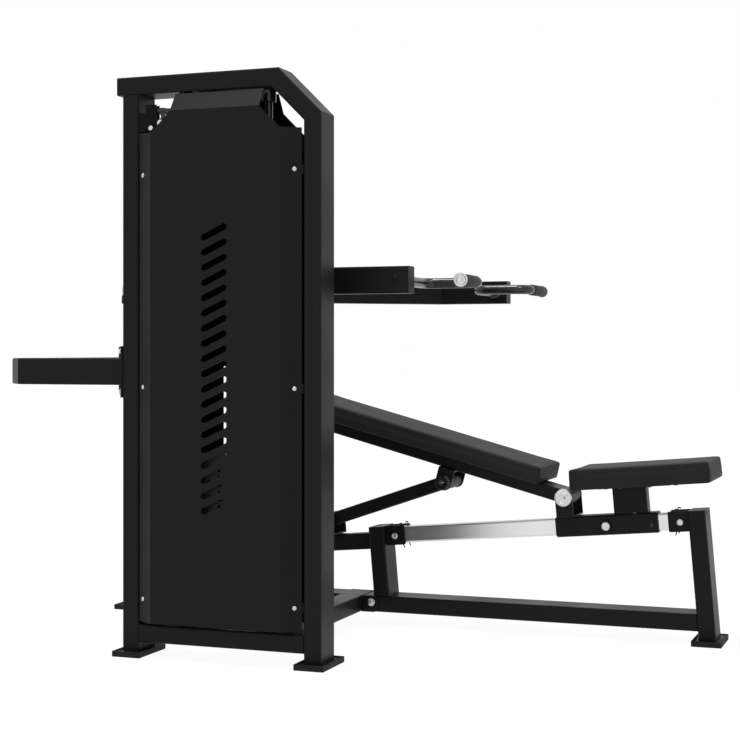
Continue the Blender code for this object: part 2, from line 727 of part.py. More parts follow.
def stack():
    """Plates in two groups, the head block, the drilled selector rod and the selector pin."""
    lift = pivot("stack_lift_axis", (TOWER_X, TOWER_Y, HEAD_TOP))
    groups = (("resting_plates", STACK_LOW, RESTING_COUNT, None),
              ("lifted_plates", LIFT_Z, LIFTED_COUNT, lift))
    for name, low, count, parent in groups:
        high = low + count * PLATE_PITCH - PLATE_GAP
        obj = finish_object(name, plate_body(low, high), PLATE_PAINT, parent)
        cut(obj, partings(name + "_partings", low, count))
        cut(obj, plate_holes(name + "_holes", low, high))
        cut(obj, pin_holes(name + "_pin_holes", low, count, PLATE_DEEP))
    head = finish_object("head_block", plate_body(STACK_TOP, HEAD_TOP), PLATE_PAINT, lift)
    cut(head, plate_holes("head_holes", STACK_TOP, HEAD_TOP))
    rod = bmesh.new()
    add_turned(rod, [(0, HEAD_TOP + SELECTOR_TOP), (0.006, HEAD_TOP + SELECTOR_TOP),
                     (SELECTOR_R, HEAD_TOP + SELECTOR_TOP - 0.010), (SELECTOR_R, STACK_LOW),
                     (SELECTOR_R - 0.005, STACK_LOW - 0.005), (0, STACK_LOW - 0.005)],
               (TOWER_X, TOWER_Y, 0), Z, 12)
    rod_obj = finish_object("selector_rod", rod, ZINC, lift)
    cut(rod_obj, pin_holes("selector_rod_holes", STACK_LOW, PLATE_COUNT, 0.03))
    pin_z = LIFT_Z + (PLATE_PITCH - PLATE_GAP) / 2
    face = PLATE_DEEP / 2 + GAP
    slide_at = Vector((TOWER_X, TOWER_Y + PLATE_DEEP / 2, pin_z))
    slide = pivot("selector_pin_axis", slide_at)
    slide.parent = lift
    slide.location = slide_at - lift.location
    pin = bmesh.new()
    profile = [(0, -PIN_REACH), (PIN_R - 0.001, -PIN_REACH), (PIN_R, 0.001 - PIN_REACH), (PIN_R, face),
               (0.009, face), (0.009, face + 0.006), (PIN_KNOB_R, face + 0.009),
               (PIN_KNOB_R, face + PIN_KNOB_LONG - 0.003), (PIN_KNOB_R - 0.004, face + PIN_KNOB_LONG),
               (0, face + PIN_KNOB_LONG)]
    add_turned(pin, profile, (TOWER_X, TOWER_Y, pin_z), (0, 1, 0), 12)
    Placed(slide, slide_at).carry(finish_object("selector_pin", pin, BLACK_GLOSS))


def guides():
    """Guide rods from the bottom tube to the top tube, each with a top collar and a rubber bumper."""
    for name, x in (("rear", TOWER_X - ROD_SPACING / 2), ("front", TOWER_X + ROD_SPACING / 2)):
        rod = bmesh.new()
        high = TOP_UNDER - GAP
        collar = high - COLLAR_HIGH
        add_turned(rod, [(0, high), (COLLAR_R - 0.001, high), (COLLAR_R, high - 0.001), (COLLAR_R, collar),
                         (ROD_R, collar), (ROD_R, FLOOR_TUBE_TOP + GAP), (0, FLOOR_TUBE_TOP + GAP)],
                   (x, TOWER_Y, 0), Z, 16)
        finish_object(name + "_guide_rod", rod, BLACK_GLOSS)
        low, top = FLOOR_TUBE_TOP + GAP, STACK_LOW - GAP
        bore = bore_radius(ROD_R, 16)
        bumper = bmesh.new()
        ring = [(bore, low), (BUMPER_R - 0.001, low), (BUMPER_R, low + 0.001), (BUMPER_R, top), (bore, top)]
        add_turned(bumper, ring, (x, TOWER_Y, 0), Z, 16, ring=True)
        finish_object(name + "_bumper", bumper, RUBBER)


# Pulleys, brackets and cable

def run_frame():
    """The upright plane of the top pulleys, turned past the rear guide rod: origin at the rear cable."""
    start = Vector((CABLE_X, TOWER_Y - CABLE_SIDE, 0))
    along = Vector((TOWER_X, TOWER_Y, 0)) - start
    return frame_matrix(start, along, Z), along.length


def pulley(name, centre, axis, cable_r, parent, windows=0):
    """A grooved wheel with a bore, and round windows through its web."""
    rim = cable_r + PULLEY_RIM
    floor = cable_r - CABLE_R - GAP
    half = PULLEY_WIDE / 2
    bore = bore_radius(PULLEY_AXLE_R, 16)
    web = PULLEY_WEB / 2
    side = [(bore, half), (PULLEY_BOSS_R, half), (PULLEY_BOSS_R + 0.001, web), (floor - PULLEY_FLANGE, web),
            (rim, PULLEY_LIP), (floor, CABLE_R * 0.6)]
    profile = side + [(r, -h) for r, h in reversed(side)]
    bm = bmesh.new()
    add_turned(bm, profile, centre, axis, 16, ring=True)
    obj = finish_object(name, bm, NYLON)
    obj.parent = parent
    obj.location = obj.location - parent.location
    if windows:
        holes = bmesh.new()
        face_on = Vector(axis).to_track_quat("Z", "Y").to_matrix().to_4x4()
        matrix = Matrix.Translation(Vector(centre)) @ face_on
        for i in range(windows):
            turn = 2 * math.pi * i / windows
            spot = matrix @ Vector((PULLEY_WINDOWS_R * math.cos(turn), PULLEY_WINDOWS_R * math.sin(turn), 0))
            add_rod(holes, spot - Vector(axis) * PULLEY_WIDE, spot + Vector(axis) * PULLEY_WIDE,
                    PULLEY_WINDOW_R, HOLE_SIDES)
        cut(obj, cutter(name + "_windows", holes))


def cheek_pair(name, outline, matrix, axle, trim=None):
    """Two like plates either side of a pulley, joined by its axle bolt; matrix holds the pulley's plane."""
    reach = CHEEK_INSIDE + CHEEK
    cheeks = []
    for side in (1, -1):
        bm = bmesh.new()
        add_plate(bm, outline, CHEEK, matrix @ Matrix.Translation((0, 0, side * (reach - CHEEK / 2))))
        cheek = finish_object("cheek", bm, None)
        if trim:
            cut(cheek, trim)
        cheeks.append(cheek)
    bolt = bmesh.new()
    head = reach + BOLT_HEAD
    profile = [(0, head), (BOLT_HEAD_R - BOLT_EDGE, head), (BOLT_HEAD_R, head - 2 * BOLT_EDGE),
               (BOLT_HEAD_R, reach - WELD_PAST), (PULLEY_AXLE_R, reach - WELD_PAST)]
    profile += [(r, -h) for r, h in reversed(profile)]
    axis = matrix.to_3x3() @ Vector((0, 0, 1))
    add_turned(bolt, profile, matrix @ Vector((*axle, 0)), axis, 12)
    weld(name, (cheeks[0], finish_object("bolt", bolt, None), cheeks[1]), POWDER)


def pulleys():
    """Four pulleys on bolts between cheek plates."""
    run, length = run_frame()
    floor_r, top_r = FLOOR_PULLEY_R, TOP_PULLEY_R
    lever_y = CABLE_Y - floor_r
    tower_y = TOWER_Y - CABLE_SIDE + floor_r
    axis = run.to_3x3() @ Vector((0, 0, 1))
    rear_at = run @ Vector((top_r, TOP_PULLEY_Z, 0))
    stack_at = run @ Vector((length - top_r, TOP_PULLEY_Z, 0))
    spots = (("lever_pulley", Vector((CABLE_X, lever_y, FLOOR_PULLEY_Z)), X, floor_r, 0),
             ("tower_floor_pulley", Vector((CABLE_X, tower_y, FLOOR_PULLEY_Z)), X, floor_r, 0),
             ("rear_top_pulley", rear_at, axis, top_r, PULLEY_WINDOWS),
             ("stack_top_pulley", stack_at, axis, top_r, PULLEY_WINDOWS))
    for name, centre, turn_axis, radius, windows in spots:
        pulley(name, centre, turn_axis, radius, pivot(name + "_axis", centre), windows)

    side_plane = frame_matrix((CABLE_X, 0, 0), (0, 1, 0), (0, 0, 1))
    beam_face = -FRAME_WIDE / 2 - GAP
    nose = CHEEK_NOSE
    lever_outline = ([(beam_face, FLOOR_TUBE_Z - CHEEK_LOW), (beam_face, FLOOR_TUBE_TOP - CHEEK_TOP)]
                     + arc((lever_y, FLOOR_PULLEY_Z), nose, 60, 215, 6))
    cheek_pair("lever_pulley_bracket", lever_outline, side_plane, (lever_y, FLOOR_PULLEY_Z))
    seat_z = FLOOR_TUBE_TOP + GAP
    tower_outline = ([(tower_y + CHEEK_SEAT_HALF, seat_z)] + arc((tower_y, FLOOR_PULLEY_Z), nose, 10, 170, 6)
                     + [(tower_y - CHEEK_SEAT_HALF, seat_z)])
    cheek_pair("tower_pulley_bracket", tower_outline, side_plane, (tower_y, FLOOR_PULLEY_Z))
    # The rear top pulley's cheeks end square on the rear upright's inner face
    wall_x = REAR_X + FRAME_THIN / 2 + GAP
    behind = bmesh.new()
    room = FRAME_WIDE
    add_box(behind, (wall_x - room, TOWER_Y - room, TOP_PULLEY_Z - room),
            (wall_x, TOWER_Y + room, TOP_PULLEY_Z + room))
    past = -FRAME_THIN
    low, step, high = (TOP_PULLEY_Z + rise for rise in (-STRAP_LOW, STRAP_STEP, STRAP_HIGH))
    rear_outline = ([(past, low), (past, step), (-STRAP_BACK, step), (-STRAP_BACK, high), (STRAP_FRONT, high),
                     (STRAP_FRONT, TOP_PULLEY_Z + STRAP_NOSE)]
                    + arc((top_r, TOP_PULLEY_Z), STRAP_NOSE, 90, -90, 8) + [(STRAP_FRONT / 2, low)])
    cheek_pair("rear_pulley_bracket", rear_outline, run, (top_r, TOP_PULLEY_Z), cutter("rear_trim", behind))
    at = length - top_r
    hang = TOP_UNDER - GAP
    stack_outline = ([(at - CHEEK_HANG_HALF, hang)] + arc((at, TOP_PULLEY_Z), nose, 190, 350, 6)
                     + [(at + CHEEK_HANG_HALF, hang)])
    cheek_pair("stack_pulley_bracket", stack_outline, run, (at, TOP_PULLEY_Z))


def cable_tube(name, points):
    """A steel cable along hand-set points."""
    curve = bpy.data.curves.new(name, "CURVE")
    curve.dimensions = "3D"
    curve.bevel_depth = CABLE_R
    curve.bevel_resolution = 2
    curve.use_fill_caps = True
    spline = curve.splines.new("POLY")
    spline.points.add(len(points) - 1)
    for point, place in zip(spline.points, points):
        point.co = (*place, 1)
    curve.materials.append(material(name, BLACK_GLOSS))
    obj = bpy.data.objects.new(name, curve)
    PARTS.objects.link(obj)
    return obj


def cable():
    """The cable from the lever's eye, round four pulleys, to the selector rod."""
    run, length = run_frame()
    floor_r, top_r = FLOOR_PULLEY_R, TOP_PULLEY_R
    lever_y = CABLE_Y - floor_r
    back_y = TOWER_Y - CABLE_SIDE
    tower_y = back_y + floor_r
    eye_low = LEVER_Z - EYE_R - EYE_STEM
    cable_tube("lever_cable", [(CABLE_X, CABLE_Y, eye_low - GAP), (CABLE_X, CABLE_Y, eye_low - 0.25),
                               (CABLE_X, CABLE_Y, FLOOR_PULLEY_Z + GAP)])
    points = [(CABLE_X, y, z) for y, z in arc((lever_y, FLOOR_PULLEY_Z), floor_r, 0, -90, 6)]
    points += [(CABLE_X, y, z) for y, z in arc((tower_y, FLOOR_PULLEY_Z), floor_r, 270, 180, 6)]
    points += [run @ Vector((s, z, 0)) for s, z in arc((top_r, TOP_PULLEY_Z), top_r, 180, 90, 6)]
    over = arc((length - top_r, TOP_PULLEY_Z), top_r, 90, 0, 6)
    points += [run @ Vector((s, z, 0)) for s, z in over]
    cable_tube("middle_cable", points)
    rod_top = HEAD_TOP + SELECTOR_TOP
    cable_tube("stack_cable", [(TOWER_X, TOWER_Y, rod_top + GAP), (TOWER_X, TOWER_Y, TOP_PULLEY_Z - 0.3),
                               (TOWER_X, TOWER_Y, TOP_PULLEY_Z - GAP)])


# Feet, main upright, floor beams and link beam

def feet():
    """Rubber trays that the uprights' foot plates lie in."""
    places = {"main_foot": (0, 0), "tower_rear_foot": (REAR_X, TOWER_Y),
              "tower_front_foot": (FRONT_X, TOWER_Y), "bench_foot": (FRONT_FOOT_X, 0)}
    for name, (x, y) in places.items():
        wide, long = FOOT_WIDE / 2, FOOT_LONG / 2
        block = bmesh.new()
        add_box(block, (x - wide, y - long, 0), (x + wide, y + long, FOOT_HIGH))
        upright_edges = [e for e in block.edges if abs(e.verts[0].co.z - e.verts[1].co.z) > FOOT_HIGH / 2]
        bmesh.ops.bevel(block, geom=upright_edges, offset=FOOT_ROUND, segments=2, profile=0.5, affect="EDGES")
        well = bmesh.new()
        add_box(well, (x - wide + FOOT_RIM, y - long + FOOT_RIM, FOOT_FLOOR),
                (x + wide - FOOT_RIM, y + long - FOOT_RIM, 2 * FOOT_HIGH))
        cut(finish_object(name, block, RUBBER), cutter(name + "_well", well))


def rail_point(x, above=0.0):
    """The point of the bench rail's centre line at x, moved square to the rail."""
    return Vector((x, 0, RAIL_Z + (x - RAIL_X) * math.tan(TILT))) + RAIL_UP * above


def post_face(face_x, at_z, z):
    """The x of a tilted post's rear face at height z."""
    return face_x - (z - at_z) * math.tan(TILT)


FRONT_FOOT_X = post_face(FRONT_POST_X, FRONT_POST_AT, FOOT_TOP) + FRAME_THIN / 2 / math.cos(TILT)
LEVER_Z = PIVOT_Z - math.sqrt(LEVER_R ** 2 - CABLE_X ** 2)


def tilted_plane(face_x, at_z):
    """A point on a post's rear face."""
    return Vector((face_x, 0, at_z))


def base_frame():
    """Main upright with the arm's pillow blocks, floor beams, bench floor beam and rear stay."""
    half = FRAME_THIN / 2
    upright = box_tube("upright", (0, 0, 0.5), Z, FRAME_WIDE, FRAME_THIN,
                       [((0, 0, FOOT_TOP), -Z, WELDED), ((0, 0, MAIN_TOP), Z, CLOSED)])
    weld("main_upright", (upright, *pillow_blocks(), foot_plate(0, 0)), POWDER)
    beam = box_tube("beam", (0.4, 0, FLOOR_TUBE_Z), X, FRAME_WIDE, FRAME_THIN,
                    [((half + GAP / 2, 0, 0), -X, OPEN), ((FLOOR_BEAM_END, 0, 0), X, OPEN)])
    cross_x = FLOOR_BEAM_END - CROSS_BEAM_WIDE / 2
    cross = box_tube("cross", (cross_x, -0.3, FLOOR_TUBE_Z), ACROSS, CROSS_BEAM_WIDE, FRAME_THIN,
                     [((cross_x, TOWER_Y + FRAME_WIDE / 2 + GAP / 2, 0), -ACROSS, OPEN),
                      ((cross_x, -FRAME_WIDE / 2, 0), ACROSS, WELDED)], side=X)
    weld("floor_beams", (beam, cross, *floor_ears()), POWDER)
    front_face = tilted_plane(FRONT_POST_X, FRONT_POST_AT)
    bench = box_tube("bench_floor_beam", (1.3, 0, FLOOR_TUBE_Z), X, FRAME_WIDE, FRAME_THIN,
                     [((FLOOR_BEAM_END + JOINT_GAP, 0, 0), -X, OPEN),
                      (front_face - RAIL_DIR * GAP / 2, RAIL_DIR, OPEN)], finish=POWDER)
    bore = bmesh.new()
    bolt_x = FLOOR_BEAM_END + JOINT_BOLT_X
    add_rod(bore, (bolt_x, -0.1, JOINT_BOLT_Z), (bolt_x, 0.1, JOINT_BOLT_Z), JOINT_BOLT_R, HOLE_SIDES)
    cut(bench, cutter("joint_bore", bore))
    rear_face = tilted_plane(REAR_POST_X, REAR_POST_AT)
    stay_at = Vector((STAY_AT_X, 0, STAY_Z))
    stay = box_tube("stay", stay_at, RAIL_DIR, STAY_SIZE, STAY_SIZE,
                    [((half + GAP / 2, 0, 0), -X, OPEN), (rear_face - RAIL_DIR * GAP / 2, RAIL_DIR, OPEN)])
    foot_at = Vector((FOOT_PIVOT[0], 0, FOOT_PIVOT[1]))
    high = (foot_at - stay_at).dot(RAIL_UP) - STAY_SIZE / 2 + WELD_PAST
    bracket = u_bracket("foot_bracket", foot_at, RAIL_DIR, RAIL_UP, high, PROP_BARREL_R + 0.0005)
    weld("rear_stay", (stay, bracket), POWDER)


def floor_ears():
    """Ear plates on the floor beams, drilled for the bolt into the bench floor beam, and their weld beads."""
    half = FRAME_THIN / 2
    bolt_x = FLOOR_BEAM_END + JOINT_BOLT_X
    out_x = FLOOR_BEAM_END + JOINT_EAR_PAST
    low, high = FLOOR_TUBE_Z - half, FLOOR_TUBE_Z + half
    corner = JOINT_EAR_ROUND
    pieces = []
    for side in (-1, 1):
        start = FLOOR_BEAM_END - 2 * WELD_PAST if side < 0 else FLOOR_BEAM_END - CROSS_BEAM_WIDE
        outline = [(start, low), (out_x - corner, low)]
        outline += arc((out_x - corner, low + corner), corner, -60, 0, 3)
        outline += arc((out_x - corner, high - corner), corner, 0, 90, 4) + [(start, high)]
        face = side * (FRAME_WIDE / 2 + GAP + EAR_THICK / 2)
        ears = bmesh.new()
        add_plate(ears, outline, EAR_THICK, frame_matrix((0, face, 0), X, Z),
                  [(bolt_x, JOINT_BOLT_Z, JOINT_BOLT_R)])
        pieces.append(finish_object("ear", ears, None))
    bead = bmesh.new()
    edge = JOINT_BEAD_EDGE
    add_box(bead, (FLOOR_BEAM_END - CROSS_BEAM_WIDE + edge, FRAME_WIDE / 2 - 2 * WELD_PAST, low + edge),
            (FLOOR_BEAM_END - edge, FRAME_WIDE / 2 + GAP + WELD_PAST, high - edge))
    pieces.append(finish_object("bead", bead, None))
    return pieces


def link_beam():
    """The mitred beam from the tower to the main upright, with a drilled flange at each end."""
    turn = Vector((-1, 1, 0)).normalized()
    upright_face = REAR_X - FRAME_THIN / 2
    first = mitre((LINK_X + LINK_CORNER, TOWER_Y, LINK_Z), -X, turn)
    second = mitre((LINK_X, TOWER_Y + LINK_CORNER, LINK_Z), turn, ACROSS)
    tower_stop = upright_face - GAP - FLANGE
    main_stop = -FRAME_WIDE / 2 - GAP - FLANGE
    pieces = [box_tube("tower_run", (0.2, TOWER_Y, LINK_Z), -X, LINK_WIDE, LINK_HIGH,
                       [((tower_stop, TOWER_Y, LINK_Z), X, WELDED), (*first, WELDED)]),
              box_tube("link_corner", first[0], turn, LINK_WIDE, LINK_HIGH,
                       [(first[0], -first[1], WELDED), (*second, WELDED)], side=(1, 1, 0)),
              box_tube("link_return", (LINK_X, -0.3, LINK_Z), ACROSS, LINK_WIDE, LINK_HIGH,
                       [(second[0], -second[1], WELDED), ((LINK_X, main_stop, LINK_Z), ACROSS, WELDED)],
                       side=X)]
    high = FLANGE_HIGH / 2
    for place, along, side, low_x, high_x in (
            ((upright_face - GAP - FLANGE / 2, TOWER_Y, LINK_Z), ACROSS, Z, -FRAME_WIDE / 2, FRAME_WIDE / 2),
            ((0, main_stop + FLANGE / 2, LINK_Z), X, Z, LINK_X - LINK_WIDE / 2, FRAME_THIN / 2)):
        bm = bmesh.new()
        mid = (low_x + high_x) / 2
        add_plate(bm, [(low_x, -high), (high_x, -high), (high_x, high), (low_x, high)], FLANGE,
                  frame_matrix(place, along, side), [(mid, 0, FLANGE_HOLE_R)])
        pieces.append(finish_object("flange", bm, None))
    weld("link_beam", pieces, POWDER)


# Press arm with its pivot, lever, handles and stop

def pillow_blocks():
    """Two bearing blocks on the main upright, bored for the arm's axle."""
    plane = frame_matrix((0, 0, PIVOT_Z), X, Z)
    inside = ARM_WIDE / 2 + GAP
    outside = FRAME_WIDE / 2 - GAP
    base_low = MAIN_TOP - WELD_PAST - PIVOT_Z
    half = BLOCK_LONG / 2
    outline = [(-half, base_low), (half, base_low), (half, base_low + BLOCK_BASE)]
    outline += arc((0, 0), BLOCK_TOP_R, 0, 180, 10) + [(-half, base_low + BLOCK_BASE)]
    hole = (PIVOT_AXLE_R + RUN) / math.cos(math.pi / HOLE_SIDES)
    blocks = []
    for side in (-1, 1):
        bm = bmesh.new()
        matrix = plane @ Matrix.Translation((0, 0, side * (inside + outside) / 2))
        add_plate(bm, outline, outside - inside, matrix, [(0, 0, hole)])
        blocks.append(finish_object("block", bm, None))
    return blocks


def arm_pivot():
    """The capped axle through the pillow blocks, and the hub that turns on it."""
    arm = pivot("press_arm_axis", (0, 0, PIVOT_Z))
    inside = ARM_WIDE / 2 + GAP
    reach = FRAME_WIDE / 2
    axle = bmesh.new()
    profile = [(0, reach + CAP_THICK), (CAP_R - CAP_EDGE, reach + CAP_THICK),
               (CAP_R, reach + CAP_THICK - CAP_EDGE), (CAP_R, reach), (PIVOT_AXLE_R, reach)]
    profile += [(r, -h) for r, h in reversed(profile)]
    add_turned(axle, profile, (0, 0, PIVOT_Z), ACROSS, 20)
    finish_object("pivot_axle", axle, ZINC)
    hub = bmesh.new()
    bore = bore_radius(PIVOT_AXLE_R, 20)
    edge = inside - 2 * GAP
    add_turned(hub, [(bore, edge), (HUB_R, edge), (HUB_R, -edge), (bore, -edge)], (0, 0, PIVOT_Z), ACROSS, 20,
               ring=True)
    return arm, finish_object("arm_hub", hub, None)


def press_arm(arm, hub):
    """Spine with its hub, two bent side arms and the drive lever with its stud, all box tube."""
    spine = box_tube("spine_tube", (0.2, 0, PIVOT_Z), X, ARM_WIDE, ARM_HIGH,
                     [((0, 0, PIVOT_Z), -X, OPEN), ((SPINE_END, 0, PIVOT_Z), X, CLOSED)])
    cope = bmesh.new()
    add_rod(cope, (0, -0.1, PIVOT_Z), (0, 0.1, PIVOT_Z), HUB_R - 0.001, 20)
    behind = bmesh.new()
    add_box(behind, (-0.1, -0.1, PIVOT_Z - 0.1), (HUB_R * 0.65, 0.1, PIVOT_Z + 0.1))
    drain = bmesh.new()
    add_rod(drain, (SPINE_DRAIN_X, 0, PIVOT_Z - ARM_HIGH), (SPINE_DRAIN_X, 0, PIVOT_Z), SPINE_DRAIN_R,
            HOLE_SIDES)
    for tool in (cutter("hub_cope", cope), cutter("hub_side", behind), cutter("spine_drain", drain)):
        cut(spine, tool)
    weld("arm_spine", (spine, hub), POWDER, arm)
    splay = math.radians(SPLAY_DEG)
    for name, side in (("near_arm", -1), ("far_arm", 1)):
        out = Vector((math.cos(splay), side * math.sin(splay), 0))
        bend = mitre((BEND_X, side * BEND_Y, PIVOT_Z), out, X)
        across = Vector((-out.y, out.x, 0))
        root = (0.3, side * (ARM_WIDE / 2 + GAP / 2), PIVOT_Z)
        slant = box_tube("slant", bend[0], out, ARM_WIDE, ARM_HIGH,
                         [(root, (0, -side, 0), OPEN), (*bend, WELDED)], side=across)
        straight = box_tube("straight", bend[0], X, ARM_WIDE, ARM_HIGH,
                            [(bend[0], -bend[1], WELDED), ((ARM_END, side * BEND_Y, PIVOT_Z), X, CLOSED)])
        weld(name, (slant, straight), POWDER, arm)
    drop = Vector((CABLE_X, 0, LEVER_Z - PIVOT_Z)).normalized()
    under = (0, 0, PIVOT_Z - ARM_HIGH / 2 - GAP / 2)
    tip = Vector((0, 0, PIVOT_Z)) + drop * (LEVER_R + LEVER_PAST)
    lever = box_tube("lever", (0, 0, PIVOT_Z), drop, LEVER_WIDE, LEVER_HIGH,
                     [(under, Z, OPEN), (tip, drop, CLOSED)])
    stud = bmesh.new()
    start = WELD_PAST - LEVER_WIDE / 2
    eye_out = CABLE_Y - EYE_THICK / 2
    wide, shoulder = STUD_R + STUD_SHOULDER, -LEVER_WIDE / 2 - STUD_SHOULDER_LONG
    tip_y = eye_out - STUD_SHOULDER_LONG
    profile = [(0, start), (wide, start), (wide, shoulder), (STUD_R, shoulder), (STUD_R, tip_y), (0, tip_y)]
    add_turned(stud, profile, (CABLE_X, 0, LEVER_Z), ACROSS, 14)
    weld("drive_lever", (lever, finish_object("stud", stud, None)), POWDER, arm)
    eye = bmesh.new()
    stem = -EYE_R - EYE_STEM
    outline = arc((0, 0), EYE_R, -60, 240, 12) + [(-EYE_STEM_HALF, stem), (EYE_STEM_HALF, stem)]
    matrix = frame_matrix((CABLE_X, CABLE_Y, LEVER_Z), X, Z)
    add_plate(eye, outline, EYE_THICK, matrix, [(0, 0, (STUD_R + RUN) / math.cos(math.pi / HOLE_SIDES))])
    finish_object("cable_eye", eye, ZINC, arm)


def arm_stop():
    """A short bracket on the main upright with a rubber buffer under the drive lever."""
    start = FRAME_THIN / 2 + GAP / 2
    end = STOP_X + BUFFER_R + STOP_PAST
    box_tube("arm_stop_bracket", (0.05, 0, STOP_Z), X, STOP_SIZE, STOP_SIZE,
             [((start, 0, STOP_Z), -X, OPEN), ((end, 0, STOP_Z), X, CLOSED)], finish=POWDER)
    drop = Vector((CABLE_X, 0, LEVER_Z - PIVOT_Z)).normalized()
    under = Vector((0, 0, PIVOT_Z)) + Vector((drop.z, 0, -drop.x)) * (LEVER_HIGH / 2 + GAP)
    bm = bmesh.new()
    add_rod(bm, (STOP_X, 0, STOP_Z + STOP_SIZE / 2 + GAP), (STOP_X, 0, PIVOT_Z), BUFFER_R, 16)
    bmesh.ops.bisect_plane(bm, geom=bm.verts[:] + bm.edges[:] + bm.faces[:], plane_co=under,
                           plane_no=(-drop.z, 0, drop.x), clear_outer=True)
    bmesh.ops.contextual_create(bm, geom=[e for e in bm.edges if e.is_boundary])
    finish_object("arm_stop_buffer", bm, RUBBER)


def handle_path():
    """The far handle's centre line in plan: in from the arm, forward, and out again, with round bends."""
    inside = BEND_Y - ARM_WIDE / 2 - GAP
    back, front = HANDLE_BEND_BACK, HANDLE_BEND_FRONT
    path = [(HANDLE_X, inside)]
    path += arc((HANDLE_X + back, HANDLE_IN + back), back, 180, 270, 5)
    path += arc((HANDLE_FRONT - front, HANDLE_IN + front), front, -90, 0, 5)
    path += [(HANDLE_FRONT, HANDLE_OUT - GRIP_CAP + WELD_PAST)]
    return path


def handles(arm):
    """Bent tube handles on the arm ends, each with a flange ring, an end cap and a rubber grip."""
    inside = BEND_Y - ARM_WIDE / 2 - GAP
    for name, side in (("near_", -1), ("far_", 1)):
        curve = bpy.data.curves.new(name + "path", "CURVE")
        curve.dimensions = "3D"
        curve.bevel_depth = HANDLE_R
        curve.bevel_resolution = 2
        spline = curve.splines.new("POLY")
        path = handle_path()
        spline.points.add(len(path) - 1)
        for point, (x, y) in zip(spline.points, path):
            point.co = (x, side * y, PIVOT_Z, 1)
        obj = bpy.data.objects.new("path", curve)
        CUTTERS.objects.link(obj)
        tube = bmesh.new()
        take(tube, obj)
        tube_obj = finish_object("tube", tube, None)
        wall = tube_obj.modifiers.new("Wall", "SOLIDIFY")
        wall.thickness = HANDLE_WALL
        wall.offset = -1
        out = (0, side, 0)
        flange = bmesh.new()
        ring = [(HANDLE_R - 0.002, -HANDLE_FLANGE), (HANDLE_FLANGE_R, -HANDLE_FLANGE), (HANDLE_FLANGE_R, 0),
                (HANDLE_R - 0.002, 0)]
        add_turned(flange, ring, (HANDLE_X, side * (inside - 0.0001), PIVOT_Z), out, 16, ring=True)
        cap = bmesh.new()
        rim = GRIP_CAP_R
        add_turned(cap, [(0, GRIP_CAP), (rim - 0.002, GRIP_CAP), (rim, GRIP_CAP - 0.001), (rim, 0), (0, 0)],
                   (HANDLE_FRONT, side * (HANDLE_OUT - GRIP_CAP), PIVOT_Z), out, 16)
        flange_obj, cap_obj = finish_object("flange", flange, None), finish_object("cap", cap, None)
        weld(name + "handle", (tube_obj, flange_obj, cap_obj), BLACK_GLOSS, arm)
        grip = bmesh.new()
        bore = bore_radius(HANDLE_R, 16)
        long = HANDLE_OUT - GRIP_CAP - GRIP_FROM - GAP
        ring = [(bore, 0), (GRIP_R - 0.002, 0), (GRIP_R, 0.002), (GRIP_R, long), (bore, long)]
        add_turned(grip, ring, (HANDLE_FRONT, side * GRIP_FROM, PIVOT_Z), out, 16, ring=True)
        finish_object(name + "grip", grip, RUBBER, arm)


# Bench: rail, posts and ears

def bench_frame():
    """The chrome rail between two tilted posts, which hold it between ears at both ends."""
    rear_face = tilted_plane(REAR_POST_X, REAR_POST_AT)
    front_face = tilted_plane(FRONT_POST_X, FRONT_POST_AT)
    step = RAIL_DIR * FRAME_THIN
    top = rail_point(RAIL_X, POST_ABOVE_RAIL)
    rail_start = rear_face + step
    box_tube("bench_rail", rail_point(RAIL_X), RAIL_DIR, RAIL_SIZE, RAIL_SIZE,
             [(rail_start + RAIL_DIR * GAP / 2, -RAIL_DIR, OPEN),
              (front_face - RAIL_DIR * GAP / 2, RAIL_DIR, OPEN)], finish=CHROME)
    rear = box_tube("rear", rear_face + step / 2, RAIL_UP, FRAME_WIDE, FRAME_THIN,
                    [((0, 0, FLOOR_TUBE_TOP + GAP / 2), -Z, OPEN), (top, RAIL_UP, CLOSED)])
    front = box_tube("front", front_face + step / 2, RAIL_UP, FRAME_WIDE, FRAME_THIN,
                     [((0, 0, FOOT_TOP), -Z, WELDED), (top, RAIL_UP, CLOSED)])
    weld("rear_post", (rear, *rail_ears(along_rail(rail_start) - 2 * WELD_PAST)), POWDER)
    ear_start = along_rail(front_face) - RAIL_EAR_LONG + 2 * WELD_PAST
    weld("front_post", (front, *rail_ears(ear_start), foot_plate(FRONT_FOOT_X, 0)), POWDER)


def rail_ears(start):
    """Two plates either side of the rail, from a distance along it."""
    local = frame_matrix(rail_point(RAIL_X), RAIL_DIR, ACROSS)
    side = RAIL_SIZE / 2 + GAP
    high = RAIL_EAR_HIGH / 2
    ears = []
    for out in (-1, 1):
        bm = bmesh.new()
        near, far = sorted((out * side, out * (side + EAR_THICK)))
        add_box(bm, (start, near, -high), (start + RAIL_EAR_LONG, far, high), local)
        edges = [e for e in bm.edges if abs((e.verts[0].co - e.verts[1].co).y) > EAR_THICK / 2]
        bmesh.ops.bevel(bm, geom=edges, offset=RAIL_EAR_ROUND, segments=2, profile=0.5, affect="EDGES")
        ears.append(finish_object("rail_ear", bm, None))
    return ears


def along_rail(point):
    """Distance of a point along the rail from RAIL_X."""
    return (Vector(point) - rail_point(RAIL_X)).dot(RAIL_DIR)


# Pivot brackets

